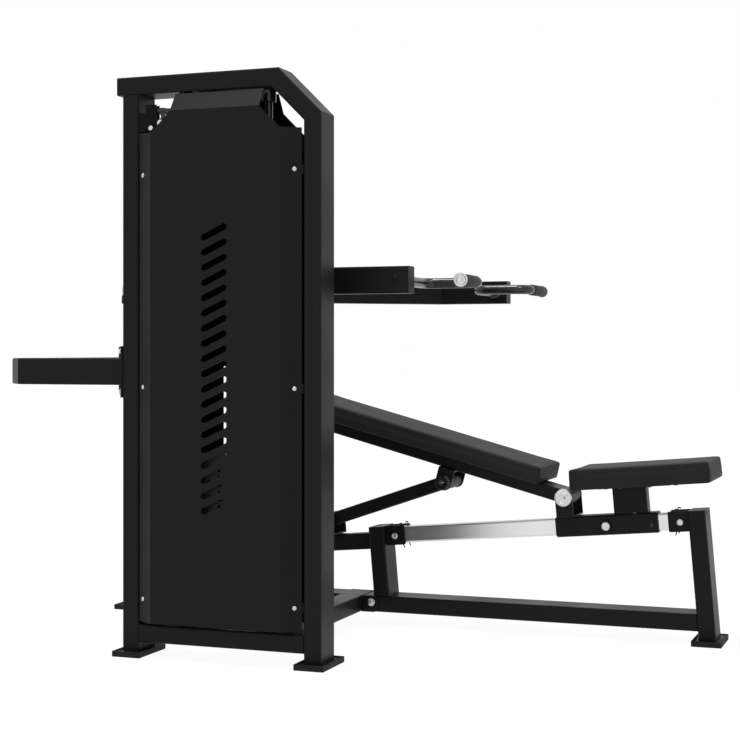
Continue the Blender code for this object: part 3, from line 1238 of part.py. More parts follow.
def u_bracket(name, place, along, up, height, radius):
    """A folded U bracket with round ears, bored across for its pivot; place is the pivot's axis."""
    local = frame_matrix(place, along, ACROSS)
    if (local.to_3x3() @ Vector((0, 0, 1))).dot(up) < 0:
        local = frame_matrix(place, -along, ACROSS)
    half = BRACKET_LONG / 2
    wide = BRACKET_INSIDE + BRACKET_PLATE
    bm = bmesh.new()
    verts = add_box(bm, (-half, -wide, -height), (half, wide, radius), local)
    up_dir = local.to_3x3() @ Vector((0, 0, 1))
    top = [e for e in bm.edges if all((v.co - place).dot(up_dir) > radius * 0.9 for v in e.verts)
           and abs((e.verts[0].co - e.verts[1].co).y) > wide]
    bmesh.ops.bevel(bm, geom=top, offset=min(radius, half) * 0.92, segments=5, profile=0.5, affect="EDGES")
    obj = finish_object(name, bm, POWDER)
    room = bmesh.new()
    add_box(room, (-half - 0.01, -BRACKET_INSIDE, BRACKET_PLATE - height),
            (half + 0.01, BRACKET_INSIDE, radius + 0.01), local)
    cut(obj, cutter(name + "_room", room))
    bore = bmesh.new()
    add_rod(bore, place - ACROSS * 2 * wide, place + ACROSS * 2 * wide, bore_radius(PIVOT_PIN_R, 16), 16)
    cut(obj, cutter(name + "_bore", bore))
    return obj


def pivot_pin(name, place, radius, finish):
    """A pin through a bracket and its barrel, with a cap disc at each end."""
    cap_in = BRACKET_INSIDE + BRACKET_PLATE + GAP
    cap_out = cap_in + PIVOT_CAP
    bm = bmesh.new()
    profile = [(0, cap_out), (radius - PIVOT_CAP_EDGE, cap_out), (radius, cap_out - PIVOT_CAP_EDGE),
               (radius, cap_in), (PIVOT_PIN_R, cap_in)]
    profile += [(r, -h) for r, h in reversed(profile)]
    add_turned(bm, profile, place, ACROSS, 16)
    return finish_object(name, bm, finish)


def barrel(place, radius, wall=None):
    """A round cross tube on a pivot's axis, bored for the pin or with a given wall."""
    bore = radius - wall if wall else bore_radius(PIVOT_PIN_R, 16)
    bm = bmesh.new()
    add_turned(bm, [(bore, BARREL_HALF), (radius, BARREL_HALF), (radius, -BARREL_HALF), (bore, -BARREL_HALF)],
               place, ACROSS, 16, ring=True)
    return finish_object("barrel", bm, None)


# Seat carriage and seat

def pad(name, local, long, wide, thick):
    """An upholstered pad: rounded corners and rims, a low crown, and sides drawn in to the board."""
    bm = bmesh.new()
    add_box(bm, (-long / 2, -wide / 2, 0), (long / 2, wide / 2, thick))
    cuts = [((1, 0, 0), (x, 0, 0)) for x in (PAD_RIM - long / 2, 0, long / 2 - PAD_RIM)]
    if long > 2 * wide:
        cuts += [((1, 0, 0), (x, 0, 0)) for x in (-long / 4, long / 4)]
    cuts += [((0, 1, 0), (0, y, 0)) for y in (PAD_RIM - wide / 2, 0, wide / 2 - PAD_RIM)]
    cuts += [((0, 0, 1), (0, 0, z)) for z in (PAD_LOW_RIM, thick - PAD_TOP_RIM)]
    for normal, at in cuts:
        bmesh.ops.bisect_plane(bm, geom=bm.verts[:] + bm.edges[:] + bm.faces[:], plane_co=at, plane_no=normal)
    for vert in bm.verts:
        u, v = 2 * vert.co.x / long, 2 * vert.co.y / wide
        if vert.co.z > thick - GAP:
            vert.co.z += PAD_CROWN * ((1 - u * u) * (1 - v * v) - 1)
        if vert.co.z < GAP:
            vert.co.x -= PAD_DRAW * u
            vert.co.y -= PAD_DRAW * v
    for vert in bm.verts:
        vert.co = local @ vert.co
    obj = finish_object(name, bm, VINYL)
    rounded = obj.modifiers.new("Rounded", "SUBSURF")
    rounded.levels = 1
    rounded.render_levels = 1
    return obj


def seat():
    """The sleeve on the rail with its glide, lock, hinge bracket, seat pillar, plate and pad."""
    slide_at = rail_point(SLEEVE_X)
    slide = pivot("seat_slide_axis", slide_at)
    holder = Placed(slide, slide_at)
    rear_end, front_end = rail_point(SLEEVE_X - SLEEVE_LONG / 2), rail_point(SLEEVE_X + SLEEVE_LONG / 2)
    sleeve = box_tube("sleeve", slide_at, RAIL_DIR, SLEEVE_SIZE, SLEEVE_SIZE,
                      [(rear_end, -RAIL_DIR, OPEN), (front_end, RAIL_DIR, OPEN)],
                      wall=SLEEVE_WALL, corner=SLEEVE_CORNER)
    local = frame_matrix(rail_point(RAIL_X), RAIL_DIR, ACROSS)
    lock_place = local @ Vector((along_rail(rail_point(KNOB_X)), -SLEEVE_SIZE / 2, -KNOB_DROP))
    hole = bmesh.new()
    add_rod(hole, lock_place + ACROSS * 0.02, lock_place - ACROSS * 0.01, bore_radius(KNOB_STEM_R, 12), 12)
    hole_tool = cutter("lock_hole", hole)
    cut(sleeve, hole_tool)
    inner = SLEEVE_SIZE - 2 * SLEEVE_WALL - 2 * GAP
    glide_wall = (inner - RAIL_SIZE) / 2 - GAP
    glide = box_tube("carriage_glide", slide_at, RAIL_DIR, inner, inner,
                     [(rear_end - RAIL_DIR * GLIDE_OUT, -RAIL_DIR, OPEN),
                      (front_end + RAIL_DIR * GLIDE_OUT, RAIL_DIR, OPEN)],
                     wall=glide_wall, corner=GLIDE_CORNER, finish=NYLON)
    cut(glide, hole_tool)
    holder.carry(glide)
    hinge_at = Vector((HINGE[0], 0, HINGE[1]))
    hinge_high = (hinge_at - rail_point(RAIL_X)).dot(RAIL_UP) - SLEEVE_SIZE / 2 + WELD_PAST
    bracket = u_bracket("hinge_bracket", hinge_at, RAIL_DIR, RAIL_UP, hinge_high, HINGE_BARREL_R + 0.0005)
    holder.carry(weld("carriage_sleeve", (sleeve, bracket), POWDER))
    holder.carry(pivot_pin("hinge_pin", hinge_at, HINGE_BARREL_R + 0.001, ZINC))

    at = along_rail(rail_point(PILLAR_X))
    pillar_top = SEAT_LOW - GAP - SEAT_PLATE
    low_point = local @ Vector((at, 0, SLEEVE_SIZE / 2 + GAP / 2))
    high_point = local @ Vector((at, 0, pillar_top))
    post = box_tube("pillar", low_point, RAIL_UP, PILLAR_WIDE, PILLAR_LONG,
                    [(low_point, -RAIL_UP, OPEN), (high_point, RAIL_UP, WELDED)])
    seat_at = along_rail(rail_point(SEAT_X))
    plate = bmesh.new()
    add_box(plate, (at - PILLAR_LONG / 2 - SEAT_PLATE_BACK, -SEAT_PLATE_HALF, pillar_top),
            (at + PILLAR_LONG / 2 + SEAT_PLATE_FRONT, SEAT_PLATE_HALF, SEAT_LOW - GAP), local)
    holder.carry(weld("seat_pillar", (post, finish_object("seat_plate", plate, None)), POWDER))
    pad_place = local @ Matrix.Translation((seat_at, 0, SEAT_LOW))
    holder.carry(pad("seat_pad", pad_place, SEAT_LONG, PAD_WIDE, SEAT_THICK))

    lock = pivot("seat_lock_axis", lock_place)
    lock.parent = slide
    lock.location = lock_place - slide_at
    knob = bmesh.new()
    tip = SLEEVE_WALL + glide_wall
    add_turned(knob, [(0, -tip), (KNOB_STEM_R, -tip), (KNOB_STEM_R, KNOB_STEM), (KNOB_R - 0.002, KNOB_STEM),
                      (KNOB_R, KNOB_STEM + 0.002), (KNOB_R, KNOB_STEM + KNOB_LONG - 0.003),
                      (KNOB_R - 0.003, KNOB_STEM + KNOB_LONG), (0, KNOB_STEM + KNOB_LONG)],
               lock_place, -ACROSS, 14)
    Placed(lock, lock_place).carry(finish_object("lock_knob", knob, ZINC))
    return slide, hinge_at


# Backrest and prop

def backrest(slide, hinge_at):
    """The barrel, coped tube, plate and prop bracket that tilt on the carriage, and the pad on them."""
    tilt = pivot("backrest_tilt_axis", hinge_at)
    tilt.parent = slide
    tilt.location = hinge_at - slide.location
    holder = Placed(tilt, hinge_at)
    lean = math.radians(BACK_DEG)
    along = Vector((-math.cos(lean), 0, math.sin(lean)))
    up = Vector((math.sin(lean), 0, math.cos(lean)))
    face = BACK_TUBE_HIGH / 2
    tube = box_tube("tube", hinge_at, along, FRAME_WIDE, BACK_TUBE_HIGH,
                    [(hinge_at, -along, OPEN), (hinge_at + along * BACK_TUBE_LONG, along, CLOSED)])
    cope = bmesh.new()
    add_rod(cope, hinge_at - ACROSS * 0.1, hinge_at + ACROSS * 0.1, HINGE_BARREL_R - 0.001, 16)
    drain = bmesh.new()
    drain_at = hinge_at + along * BACK_DRAIN
    add_rod(drain, drain_at - up * BACK_TUBE_HIGH, drain_at, DRAIN_R, HOLE_SIDES)
    for tool in (cutter("hinge_cope", cope), cutter("backrest_drain", drain)):
        cut(tube, tool)
    local = frame_matrix(hinge_at, -along, ACROSS)
    plate = bmesh.new()
    head, foot = BACK_PLATE_HEAD - BACK_START - BACK_LONG, -BACK_START - BACK_PLATE_FOOT
    add_box(plate, (head, -BACK_PLATE_HALF, face - WELD_PAST),
            (foot, BACK_PLATE_HALF, face + BACK_PLATE - GAP), local)
    prop_at = Vector((PROP_PIVOT[0], 0, PROP_PIVOT[1]))
    below = -(prop_at - hinge_at).dot(up) - face + WELD_PAST
    bracket = u_bracket("prop_bracket", prop_at, along, -up, below, PROP_BARREL_R + 0.0005)
    pieces = (tube, barrel(hinge_at, HINGE_BARREL_R), finish_object("plate", plate, None), bracket)
    holder.carry(weld("backrest_frame", pieces, POWDER))
    middle = -BACK_START - BACK_LONG / 2
    place = local @ Matrix.Translation((middle, 0, face + BACK_PLATE))
    holder.carry(pad("backrest_pad", place, BACK_LONG, PAD_WIDE, BACK_THICK))
    holder.carry(pivot_pin("prop_pin", prop_at, PROP_BARREL_R + 0.0005, BLACK_GLOSS))
    return tilt, prop_at


def prop(tilt, hinge_at, prop_at):
    """The prop tube between two barrels; its lower one rests between the foot bracket's ears."""
    swing = pivot("prop_swing_axis", prop_at)
    swing.parent = tilt
    swing.location = prop_at - hinge_at
    foot_at = Vector((FOOT_PIVOT[0], 0, FOOT_PIVOT[1]))
    along = (prop_at - foot_at).normalized()
    up = along.cross(ACROSS)
    tube = box_tube("tube", foot_at, along, PROP_WIDE, PROP_HIGH,
                    [(foot_at, -along, OPEN), (prop_at, along, OPEN)])
    for place in (foot_at, prop_at):
        cope = bmesh.new()
        add_rod(cope, place - ACROSS * 0.1, place + ACROSS * 0.1, PROP_BARREL_R - 0.001, 16)
        cut(tube, cutter("prop_cope", cope))
    drain = bmesh.new()
    middle = (foot_at + prop_at) / 2
    add_rod(drain, middle - up * PROP_HIGH, middle, DRAIN_R, HOLE_SIDES)
    cut(tube, cutter("prop_drain", drain))
    pieces = (tube, barrel(prop_at, PROP_BARREL_R), barrel(foot_at, PROP_BARREL_R, FOOT_BARREL_WALL))
    Placed(swing, prop_at).carry(weld("prop_frame", pieces, POWDER))


tower_frame()
shrouds()
stack()
guides()
pulleys()
cable()
feet()
base_frame()
link_beam()
bench_frame()
ARM, HUB = arm_pivot()
press_arm(ARM, HUB)
arm_stop()
handles(ARM)
SLIDE, HINGE_AT = seat()
BACK, PROP_AT = backrest(SLIDE, HINGE_AT)
prop(BACK, HINGE_AT, PROP_AT)
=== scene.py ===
"""The looks of a multi press machine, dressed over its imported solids.

Metres, +Z up, +X to the bench's seat end.
"""
import math

import bpy
from mathutils import Matrix, Vector


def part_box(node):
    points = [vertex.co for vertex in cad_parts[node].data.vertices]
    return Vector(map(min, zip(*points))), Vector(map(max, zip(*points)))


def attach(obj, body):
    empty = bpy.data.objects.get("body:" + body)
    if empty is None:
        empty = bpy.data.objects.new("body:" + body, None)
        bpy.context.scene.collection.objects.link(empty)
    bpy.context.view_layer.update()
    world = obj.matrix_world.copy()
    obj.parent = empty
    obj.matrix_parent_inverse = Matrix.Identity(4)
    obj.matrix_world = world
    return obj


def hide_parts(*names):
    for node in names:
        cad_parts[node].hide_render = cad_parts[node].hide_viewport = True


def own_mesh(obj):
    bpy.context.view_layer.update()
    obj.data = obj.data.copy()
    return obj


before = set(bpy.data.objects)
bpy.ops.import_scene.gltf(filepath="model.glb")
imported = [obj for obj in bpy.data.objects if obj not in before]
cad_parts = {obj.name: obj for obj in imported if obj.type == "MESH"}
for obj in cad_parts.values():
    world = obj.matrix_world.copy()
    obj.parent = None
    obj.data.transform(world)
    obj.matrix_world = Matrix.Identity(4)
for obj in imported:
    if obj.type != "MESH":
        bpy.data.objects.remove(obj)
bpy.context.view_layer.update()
bpy.ops.object.select_all(action="DESELECT")


# Camera: a long lens at chest height, level, off the tower's front corner, so that the uprights stay
# upright and the frame's shift alone lowers the view.
eye = (2.5318, -4.5853, 0.842)
bpy.ops.object.camera_add(location=eye, rotation=(math.radians(90), 0, math.radians(20.46)))
camera = bpy.context.object
camera.name = "photo_camera"
camera.data.sensor_width = 36
camera.data.lens = 76.28
camera.data.shift_y = -0.0253
bpy.context.scene.camera = camera
bpy.context.scene.view_settings.view_transform = "Standard"


# Studio: a white floor that keeps a faint shadow, white surroundings for the eye and for gloss, a broad
# even light from above, and two large soft lamps, one over the arms and one in front.
def studio_surface(tree, colour, own_share, strength):
    """White that shines by a share of its own and takes shadow with the rest."""
    tree.nodes.clear()
    out = tree.nodes.new("ShaderNodeOutputMaterial")
    mix = tree.nodes.new("ShaderNodeMixShader")
    matt = tree.nodes.new("ShaderNodeBsdfDiffuse")
    shine = tree.nodes.new("ShaderNodeEmission")
    matt.inputs["Color"].default_value = (colour, colour, colour, 1)
    shine.inputs["Strength"].default_value = strength
    mix.inputs["Fac"].default_value = own_share
    tree.links.new(matt.outputs["BSDF"], mix.inputs[1])
    tree.links.new(shine.outputs["Emission"], mix.inputs[2])
    tree.links.new(mix.outputs["Shader"], out.inputs["Surface"])


bpy.ops.mesh.primitive_plane_add(size=60, location=(1, 0, -0.0005))
floor = bpy.context.object
floor.name = "studio_floor"
floor_white = bpy.data.materials.new("studio_floor_white")
floor_white.use_nodes = True
studio_surface(floor_white.node_tree, colour=0.9, own_share=0.90, strength=1.06)
floor.data.materials.append(floor_white)

world = bpy.data.worlds.new("studio_surroundings")
bpy.context.scene.world = world
world.use_nodes = True
sky = world.node_tree
sky.nodes.clear()
sky_out = sky.nodes.new("ShaderNodeOutputWorld")
sky_mix = sky.nodes.new("ShaderNodeMixShader")
sky_lit = sky.nodes.new("ShaderNodeBackground")
sky_seen = sky.nodes.new("ShaderNodeBackground")
sky_path = sky.nodes.new("ShaderNodeLightPath")
sky_either = sky.nodes.new("ShaderNodeMath")
sky_any = sky.nodes.new("ShaderNodeMath")
sky_either.operation = "MAXIMUM"
sky_any.operation = "MAXIMUM"
sky_lit.inputs["Color"].default_value = (0.95, 0.97, 1, 1)
sky_lit.inputs["Strength"].default_value = 0.28
sky_seen.inputs["Strength"].default_value = 1.0
sky_seen.inputs["Color"].default_value = (1, 1, 1, 1)
sky.links.new(sky_path.outputs["Is Camera Ray"], sky_either.inputs[0])
sky.links.new(sky_path.outputs["Is Transmission Ray"], sky_either.inputs[1])
sky.links.new(sky_either.outputs["Value"], sky_any.inputs[0])
sky.links.new(sky_path.outputs["Is Glossy Ray"], sky_any.inputs[1])
sky.links.new(sky_any.outputs["Value"], sky_mix.inputs["Fac"])
sky.links.new(sky_lit.outputs["Background"], sky_mix.inputs[1])
sky.links.new(sky_seen.outputs["Background"], sky_mix.inputs[2])
sky.links.new(sky_mix.outputs["Shader"], sky_out.inputs["Surface"])

for lamp_name, place, aim, width, power in (
        ("overhead_lamp", (2.3, -1.4, 3.9), (0.9, -0.4, 1.0), 1.1, 34),
        ("front_lamp", (-0.4, -5.2, 0.9), (1.0, -0.4, 0.3), 1.8, 9)):
    bpy.ops.object.light_add(type="AREA", location=place)
    lamp = bpy.context.object
    lamp.name = lamp_name
    lamp.data.shape = "DISK"
    lamp.data.size = width
    lamp.data.energy = power
    lamp.rotation_euler = (Vector(place) - Vector(aim)).to_track_quat("Z", "Y").to_euler()
broad_turn = (math.radians(3), math.radians(-11), 0)
bpy.ops.object.light_add(type="SUN", location=(0, 0, 5), rotation=broad_turn)
broad_light = bpy.context.object
broad_light.name = "broad_top_light"
broad_light.data.energy = 2.0
broad_light.data.angle = math.radians(16)


# Tower frame, arms and bench steel: 50 by 100 mm box tube in satin black powder coat. The coat has a fine
# orange peel and a slight cloudiness in its gloss.
def coat_texture_group():
    """Node group: a fine peel or grain for the normal, and cloudy colour and roughness."""
    group = bpy.data.node_groups.new("coat_texture", "ShaderNodeTree")
    for name, kind, side, value in (("Colour", "NodeSocketColor", "INPUT", (0.02, 0.02, 0.02, 1)),
                                    ("Cloud Colour", "NodeSocketColor", "INPUT", (0.03, 0.03, 0.03, 1)),
                                    ("Grain Size", "NodeSocketFloat", "INPUT", 900.0),
                                    ("Grain Depth", "NodeSocketFloat", "INPUT", 0.2),
                                    ("Roughness Low", "NodeSocketFloat", "INPUT", 0.4),
                                    ("Roughness High", "NodeSocketFloat", "INPUT", 0.5),
                                    ("Colour", "NodeSocketColor", "OUTPUT", None),
                                    ("Roughness", "NodeSocketFloat", "OUTPUT", None),
                                    ("Normal", "NodeSocketVector", "OUTPUT", None)):
        socket = group.interface.new_socket(name=name, in_out=side, socket_type=kind)
        if value is not None:
            socket.default_value = value
    entry = group.nodes.new("NodeGroupInput")
    leave = group.nodes.new("NodeGroupOutput")
    where = group.nodes.new("ShaderNodeTexCoord")
    grain = group.nodes.new("ShaderNodeTexNoise")
    cloud = group.nodes.new("ShaderNodeTexNoise")
    bump = group.nodes.new("ShaderNodeBump")
    shade = group.nodes.new("ShaderNodeMix")
    gloss = group.nodes.new("ShaderNodeMapRange")
    grain.inputs["Detail"].default_value = 3.0
    cloud.inputs["Scale"].default_value = 7.0
    cloud.inputs["Detail"].default_value = 4.0
    bump.inputs["Distance"].default_value = 0.0004
    shade.data_type = "RGBA"
    gloss.inputs["From Min"].default_value = 0.35
    gloss.inputs["From Max"].default_value = 0.65
    link = group.links.new
    link(where.outputs["Object"], grain.inputs["Vector"])
    link(where.outputs["Object"], cloud.inputs["Vector"])
    link(entry.outputs["Grain Size"], grain.inputs["Scale"])
    link(grain.outputs["Fac"], bump.inputs["Height"])
    link(entry.outputs["Grain Depth"], bump.inputs["Strength"])
    link(cloud.outputs["Fac"], shade.inputs["Factor"])
    link(entry.outputs["Colour"], shade.inputs["A"])
    link(entry.outputs["Cloud Colour"], shade.inputs["B"])
    link(cloud.outputs["Fac"], gloss.inputs["Value"])
    link(entry.outputs["Roughness Low"], gloss.inputs["To Min"])
    link(entry.outputs["Roughness High"], gloss.inputs["To Max"])
    link(shade.outputs["Result"], leave.inputs["Colour"])
    link(gloss.outputs["Result"], leave.inputs["Roughness"])
    link(bump.outputs["Normal"], leave.inputs["Normal"])
    return group


coat_texture = coat_texture_group()


def coated(name, colour, cloud, grain, depth, rough_low, rough_high, specular=0.5):
    """A material with the coat texture's grain and clouds."""
    made = bpy.data.materials.new(name)
    made.use_nodes = True
    tree = made.node_tree
    shader = tree.nodes["Principled BSDF"]
    texture = tree.nodes.new("ShaderNodeGroup")
    texture.node_tree = coat_texture
    for socket, value in (("Colour", (*colour, 1)), ("Cloud Colour", (*cloud, 1)),
                          ("Grain Size", grain), ("Grain Depth", depth),
                          ("Roughness Low", rough_low), ("Roughness High", rough_high)):
        texture.inputs[socket].default_value = value
    shader.inputs["Specular IOR Level"].default_value = specular
    tree.links.new(texture.outputs["Colour"], shader.inputs["Base Color"])
    tree.links.new(texture.outputs["Roughness"], shader.inputs["Roughness"])
    tree.links.new(texture.outputs["Normal"], shader.inputs["Normal"])
    return made


powder_coat = coated("satin_black_powder_coat", (0.0062, 0.0062, 0.0066), (0.0086, 0.0086, 0.0091),
                     grain=1100, depth=0.22, rough_low=0.38, rough_high=0.46, specular=0.105)


def finish_nodes(finish, *names):
    """Give carried-over solids their finish."""
    for name in names:
        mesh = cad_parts[name].data
        mesh.materials.clear()
        mesh.materials.append(finish)


finish_nodes(powder_coat, "tower_rear_upright", "tower_front_upright", "tower_top_tube",
             "tower_bottom_tube", "near_shroud", "far_shroud", "main_upright", "floor_beams",
             "bench_floor_beam", "rear_stay", "link_beam", "arm_stop_bracket", "rear_post", "front_post",
             "arm_spine", "near_arm", "far_arm", "drive_lever", "carriage_sleeve", "seat_pillar",
             "backrest_frame", "prop_frame")


# Shroud screws: twelve zinc-plated button heads with a hex socket, three down each side flap of both
# sheets. They hold the sheets to the bent tabs inside.
def stand(obj, finish, slot, body, *stands_for):
    """Finish a new piece, hang it from its body's empty, and hide the solids that it stands for."""
    obj.data.materials.clear()
    obj.data.materials.append(finish)
    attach(obj, body)
    if stands_for:
        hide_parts(*stands_for)
    return obj


def settle(obj, place, axis=(0, 0, 1)):
    """Put a piece made about the origin in its place, with that place in its mesh."""
    turn = Vector(axis).to_track_quat("Z", "Y").to_matrix().to_4x4()
    obj.data.transform(Matrix.Translation(Vector(place)) @ turn)
    obj.data.update()
    return obj


def button_head(name, radius, height, socket):
    """A domed head on its flat, with a hex socket sunk in the crown."""
    bpy.ops.object.select_all(action="DESELECT")
    bpy.ops.mesh.primitive_cylinder_add(vertices=24, radius=radius, depth=height,
                                        location=(0, 0, height / 2))
    head = bpy.context.object
    head.name = name
    bpy.ops.object.transform_apply(location=True, rotation=True, scale=True)
    bpy.ops.object.mode_set(mode="EDIT")
    bpy.ops.mesh.select_mode(type="FACE")
    bpy.ops.mesh.select_all(action="DESELECT")
    bpy.ops.object.mode_set(mode="OBJECT")
    for face in head.data.polygons:
        face.select = face.normal.z > 0.9
    bpy.ops.object.mode_set(mode="EDIT")
    bpy.ops.mesh.bevel(offset=height * 0.7, segments=4, affect="EDGES", profile=0.5)
    bpy.ops.mesh.select_all(action="DESELECT")
    bpy.ops.object.mode_set(mode="OBJECT")
    bpy.ops.mesh.primitive_cylinder_add(vertices=6, radius=socket, depth=height,
                                        location=(0, 0, height))
    key = bpy.context.object
    cut = head.modifiers.new("Socket", "BOOLEAN")
    cut.object = key
    cut.solver = "EXACT"
    bpy.context.view_layer.objects.active = head
    bpy.ops.object.modifier_apply(modifier=cut.name)
    bpy.data.objects.remove(key, do_unlink=True)
    bpy.ops.object.select_all(action="DESELECT")
    head.select_set(True)
    bpy.context.view_layer.objects.active = head
    bpy.ops.object.shade_smooth_by_angle(angle=math.radians(35))
    head.select_set(False)
    return head


def repeated(pattern, name, place, axis, finish, slot, body):
    """A copy of a fastener with its own mesh, in its place."""
    piece = pattern.copy()
    piece.data = pattern.data.copy()
    piece.name = name
    bpy.context.collection.objects.link(piece)
    settle(piece, place, axis)
    return stand(piece, finish, slot, body)


def metal_texture_group():
    """Node group: fine drawn lines and small cloudy spots for plated steel."""
    group = bpy.data.node_groups.new("plated_steel_texture", "ShaderNodeTree")
    for name, kind, side, value in (("Line Stretch", "NodeSocketVector", "INPUT", (60, 60, 900)),
                                    ("Line Depth", "NodeSocketFloat", "INPUT", 0.1),
                                    ("Roughness Low", "NodeSocketFloat", "INPUT", 0.2),
                                    ("Roughness High", "NodeSocketFloat", "INPUT", 0.3),
                                    ("Light", "NodeSocketColor", "INPUT", (0.7, 0.7, 0.7, 1)),
                                    ("Dull", "NodeSocketColor", "INPUT", (0.6, 0.6, 0.6, 1)),
                                    ("Colour", "NodeSocketColor", "OUTPUT", None),
                                    ("Roughness", "NodeSocketFloat", "OUTPUT", None),
                                    ("Normal", "NodeSocketVector", "OUTPUT", None)):
        socket = group.interface.new_socket(name=name, in_out=side, socket_type=kind)
        if value is not None:
            socket.default_value = value
    entry = group.nodes.new("NodeGroupInput")
    leave = group.nodes.new("NodeGroupOutput")
    where = group.nodes.new("ShaderNodeTexCoord")
    stretch = group.nodes.new("ShaderNodeVectorMath")
    lines = group.nodes.new("ShaderNodeTexNoise")
    spots = group.nodes.new("ShaderNodeTexNoise")
    bump = group.nodes.new("ShaderNodeBump")
    shade = group.nodes.new("ShaderNodeMix")
    gloss = group.nodes.new("ShaderNodeMapRange")
    stretch.operation = "MULTIPLY"
    lines.inputs["Scale"].default_value = 1.0
    spots.inputs["Scale"].default_value = 45.0
    bump.inputs["Distance"].default_value = 0.0002
    shade.data_type = "RGBA"
    link = group.links.new
    link(where.outputs["Object"], stretch.inputs[0])
    link(entry.outputs["Line Stretch"], stretch.inputs[1])
    link(stretch.outputs["Vector"], lines.inputs["Vector"])
    link(where.outputs["Object"], spots.inputs["Vector"])
    link(lines.outputs["Fac"], bump.inputs["Height"])
    link(entry.outputs["Line Depth"], bump.inputs["Strength"])
    link(spots.outputs["Fac"], shade.inputs["Factor"])
    link(entry.outputs["Light"], shade.inputs["A"])
    link(entry.outputs["Dull"], shade.inputs["B"])
    link(lines.outputs["Fac"], gloss.inputs["Value"])
    link(entry.outputs["Roughness Low"], gloss.inputs["To Min"])
    link(entry.outputs["Roughness High"], gloss.inputs["To Max"])
    link(shade.outputs["Result"], leave.inputs["Colour"])
    link(gloss.outputs["Result"], leave.inputs["Roughness"])
    link(bump.outputs["Normal"], leave.inputs["Normal"])
    return group


plated_steel_texture = metal_texture_group()


def plated(name, light, dull, stretch, depth, rough_low, rough_high):
    """A metal with drawn lines and cloudy spots."""
    made = bpy.data.materials.new(name)
    made.use_nodes = True
    tree = made.node_tree
    shader = tree.nodes["Principled BSDF"]
    texture = tree.nodes.new("ShaderNodeGroup")
    texture.node_tree = plated_steel_texture
    for socket, value in (("Line Stretch", stretch), ("Line Depth", depth), ("Roughness Low", rough_low),
                          ("Roughness High", rough_high), ("Light", (*light, 1)), ("Dull", (*dull, 1))):
        texture.inputs[socket].default_value = value
    shader.inputs["Metallic"].default_value = 1.0
    tree.links.new(texture.outputs["Colour"], shader.inputs["Base Color"])
    tree.links.new(texture.outputs["Roughness"], shader.inputs["Roughness"])
    tree.links.new(texture.outputs["Normal"], shader.inputs["Normal"])
    return made


zinc_plate = plated("zinc_plate", (0.62, 0.62, 0.62), (0.56, 0.56, 0.57), stretch=(300, 300, 300),
                    depth=0.02, rough_low=0.34, rough_high=0.42)

stack_x, stack_y = 0.666, -0.7025
flap_run, flap_drop = 0.0505, -0.033
screw_rows = (0.161, 0.743, 1.325)
flap = Vector((flap_run, flap_drop, 0)).normalized()
flap_out = Vector((flap.y, -flap.x, 0))
edge = Vector((-0.1925 - flap_run, -0.050, 0))
screw_line = edge + flap * (0.021 - 0.004) / flap.x
shroud_screw = button_head("shroud_screw", radius=0.0062, height=0.0034, socket=0.0025)
for side_x in (1, -1):
    for side_y in (1, -1):
        for row, screw_z in enumerate(screw_rows):
            spot = Vector((stack_x + side_x * screw_line.x, stack_y + side_y * screw_line.y, screw_z))
            out = Vector((side_x * flap_out.x, side_y * flap_out.y, 0))
            tag = ("rear" if side_x > 0 else "front") + ("_near" if side_y > 0 else "_far")
            repeated(shroud_screw, f"shroud_screw_{tag}_{row + 1}", spot, out, zinc_plate,
                     "zinc_plate", "frame")
bpy.data.objects.remove(shroud_screw, do_unlink=True)


# Weight stack: twenty painted iron plates and a head block on two guide rods, with rubber bumpers below and
# rod collars above. The rods and their collars are gloss black, a painted dark reflection in place of chrome
# that would mirror the shaded inside of the tower. The picked plates hang from the drilled selector rod.
plate_paint = coated("painted_iron_plate", (0.012, 0.012, 0.012), (0.020, 0.020, 0.020),
                     grain=500, depth=0.35, rough_low=0.50, rough_high=0.62, specular=0.35)
finish_nodes(plate_paint, "resting_plates", "lifted_plates", "head_block")


def turned(name, profile, place, axis=(0, 0, 1), sides=48, ring=False):
    """A round piece drawn up from a circle: each step is extruded, then scaled to its radius."""
    bpy.ops.object.select_all(action="DESELECT")
    radius, height = profile[0]
    bpy.ops.mesh.primitive_circle_add(vertices=sides, radius=radius, location=(0, 0, height),
                                      fill_type="NOTHING" if ring else "NGON")
    piece = bpy.context.object
    piece.name = name
    bpy.ops.object.transform_apply(location=True, rotation=True, scale=True)
    bpy.ops.object.mode_set(mode="EDIT")
    bpy.ops.mesh.select_mode(type="VERT")
    bpy.ops.mesh.select_all(action="SELECT")
    for step_radius, step_height in profile[1:]:
        rise = (0, 0, step_height - height)
        bpy.ops.mesh.extrude_region_move(TRANSFORM_OT_translate={"value": rise})
        share = step_radius / radius
        bpy.ops.transform.resize(value=(share, share, 1), center_override=(0, 0, step_height))
        radius, height = step_radius, step_height
    bpy.ops.mesh.select_all(action="SELECT")
    bpy.ops.mesh.remove_doubles(threshold=0.00001)
    bpy.ops.mesh.normals_make_consistent(inside=False)
    bpy.ops.object.mode_set(mode="OBJECT")
    settle(piece, place, axis)
    bpy.ops.object.shade_smooth_by_angle(angle=math.radians(32))
    piece.select_set(False)
    return piece


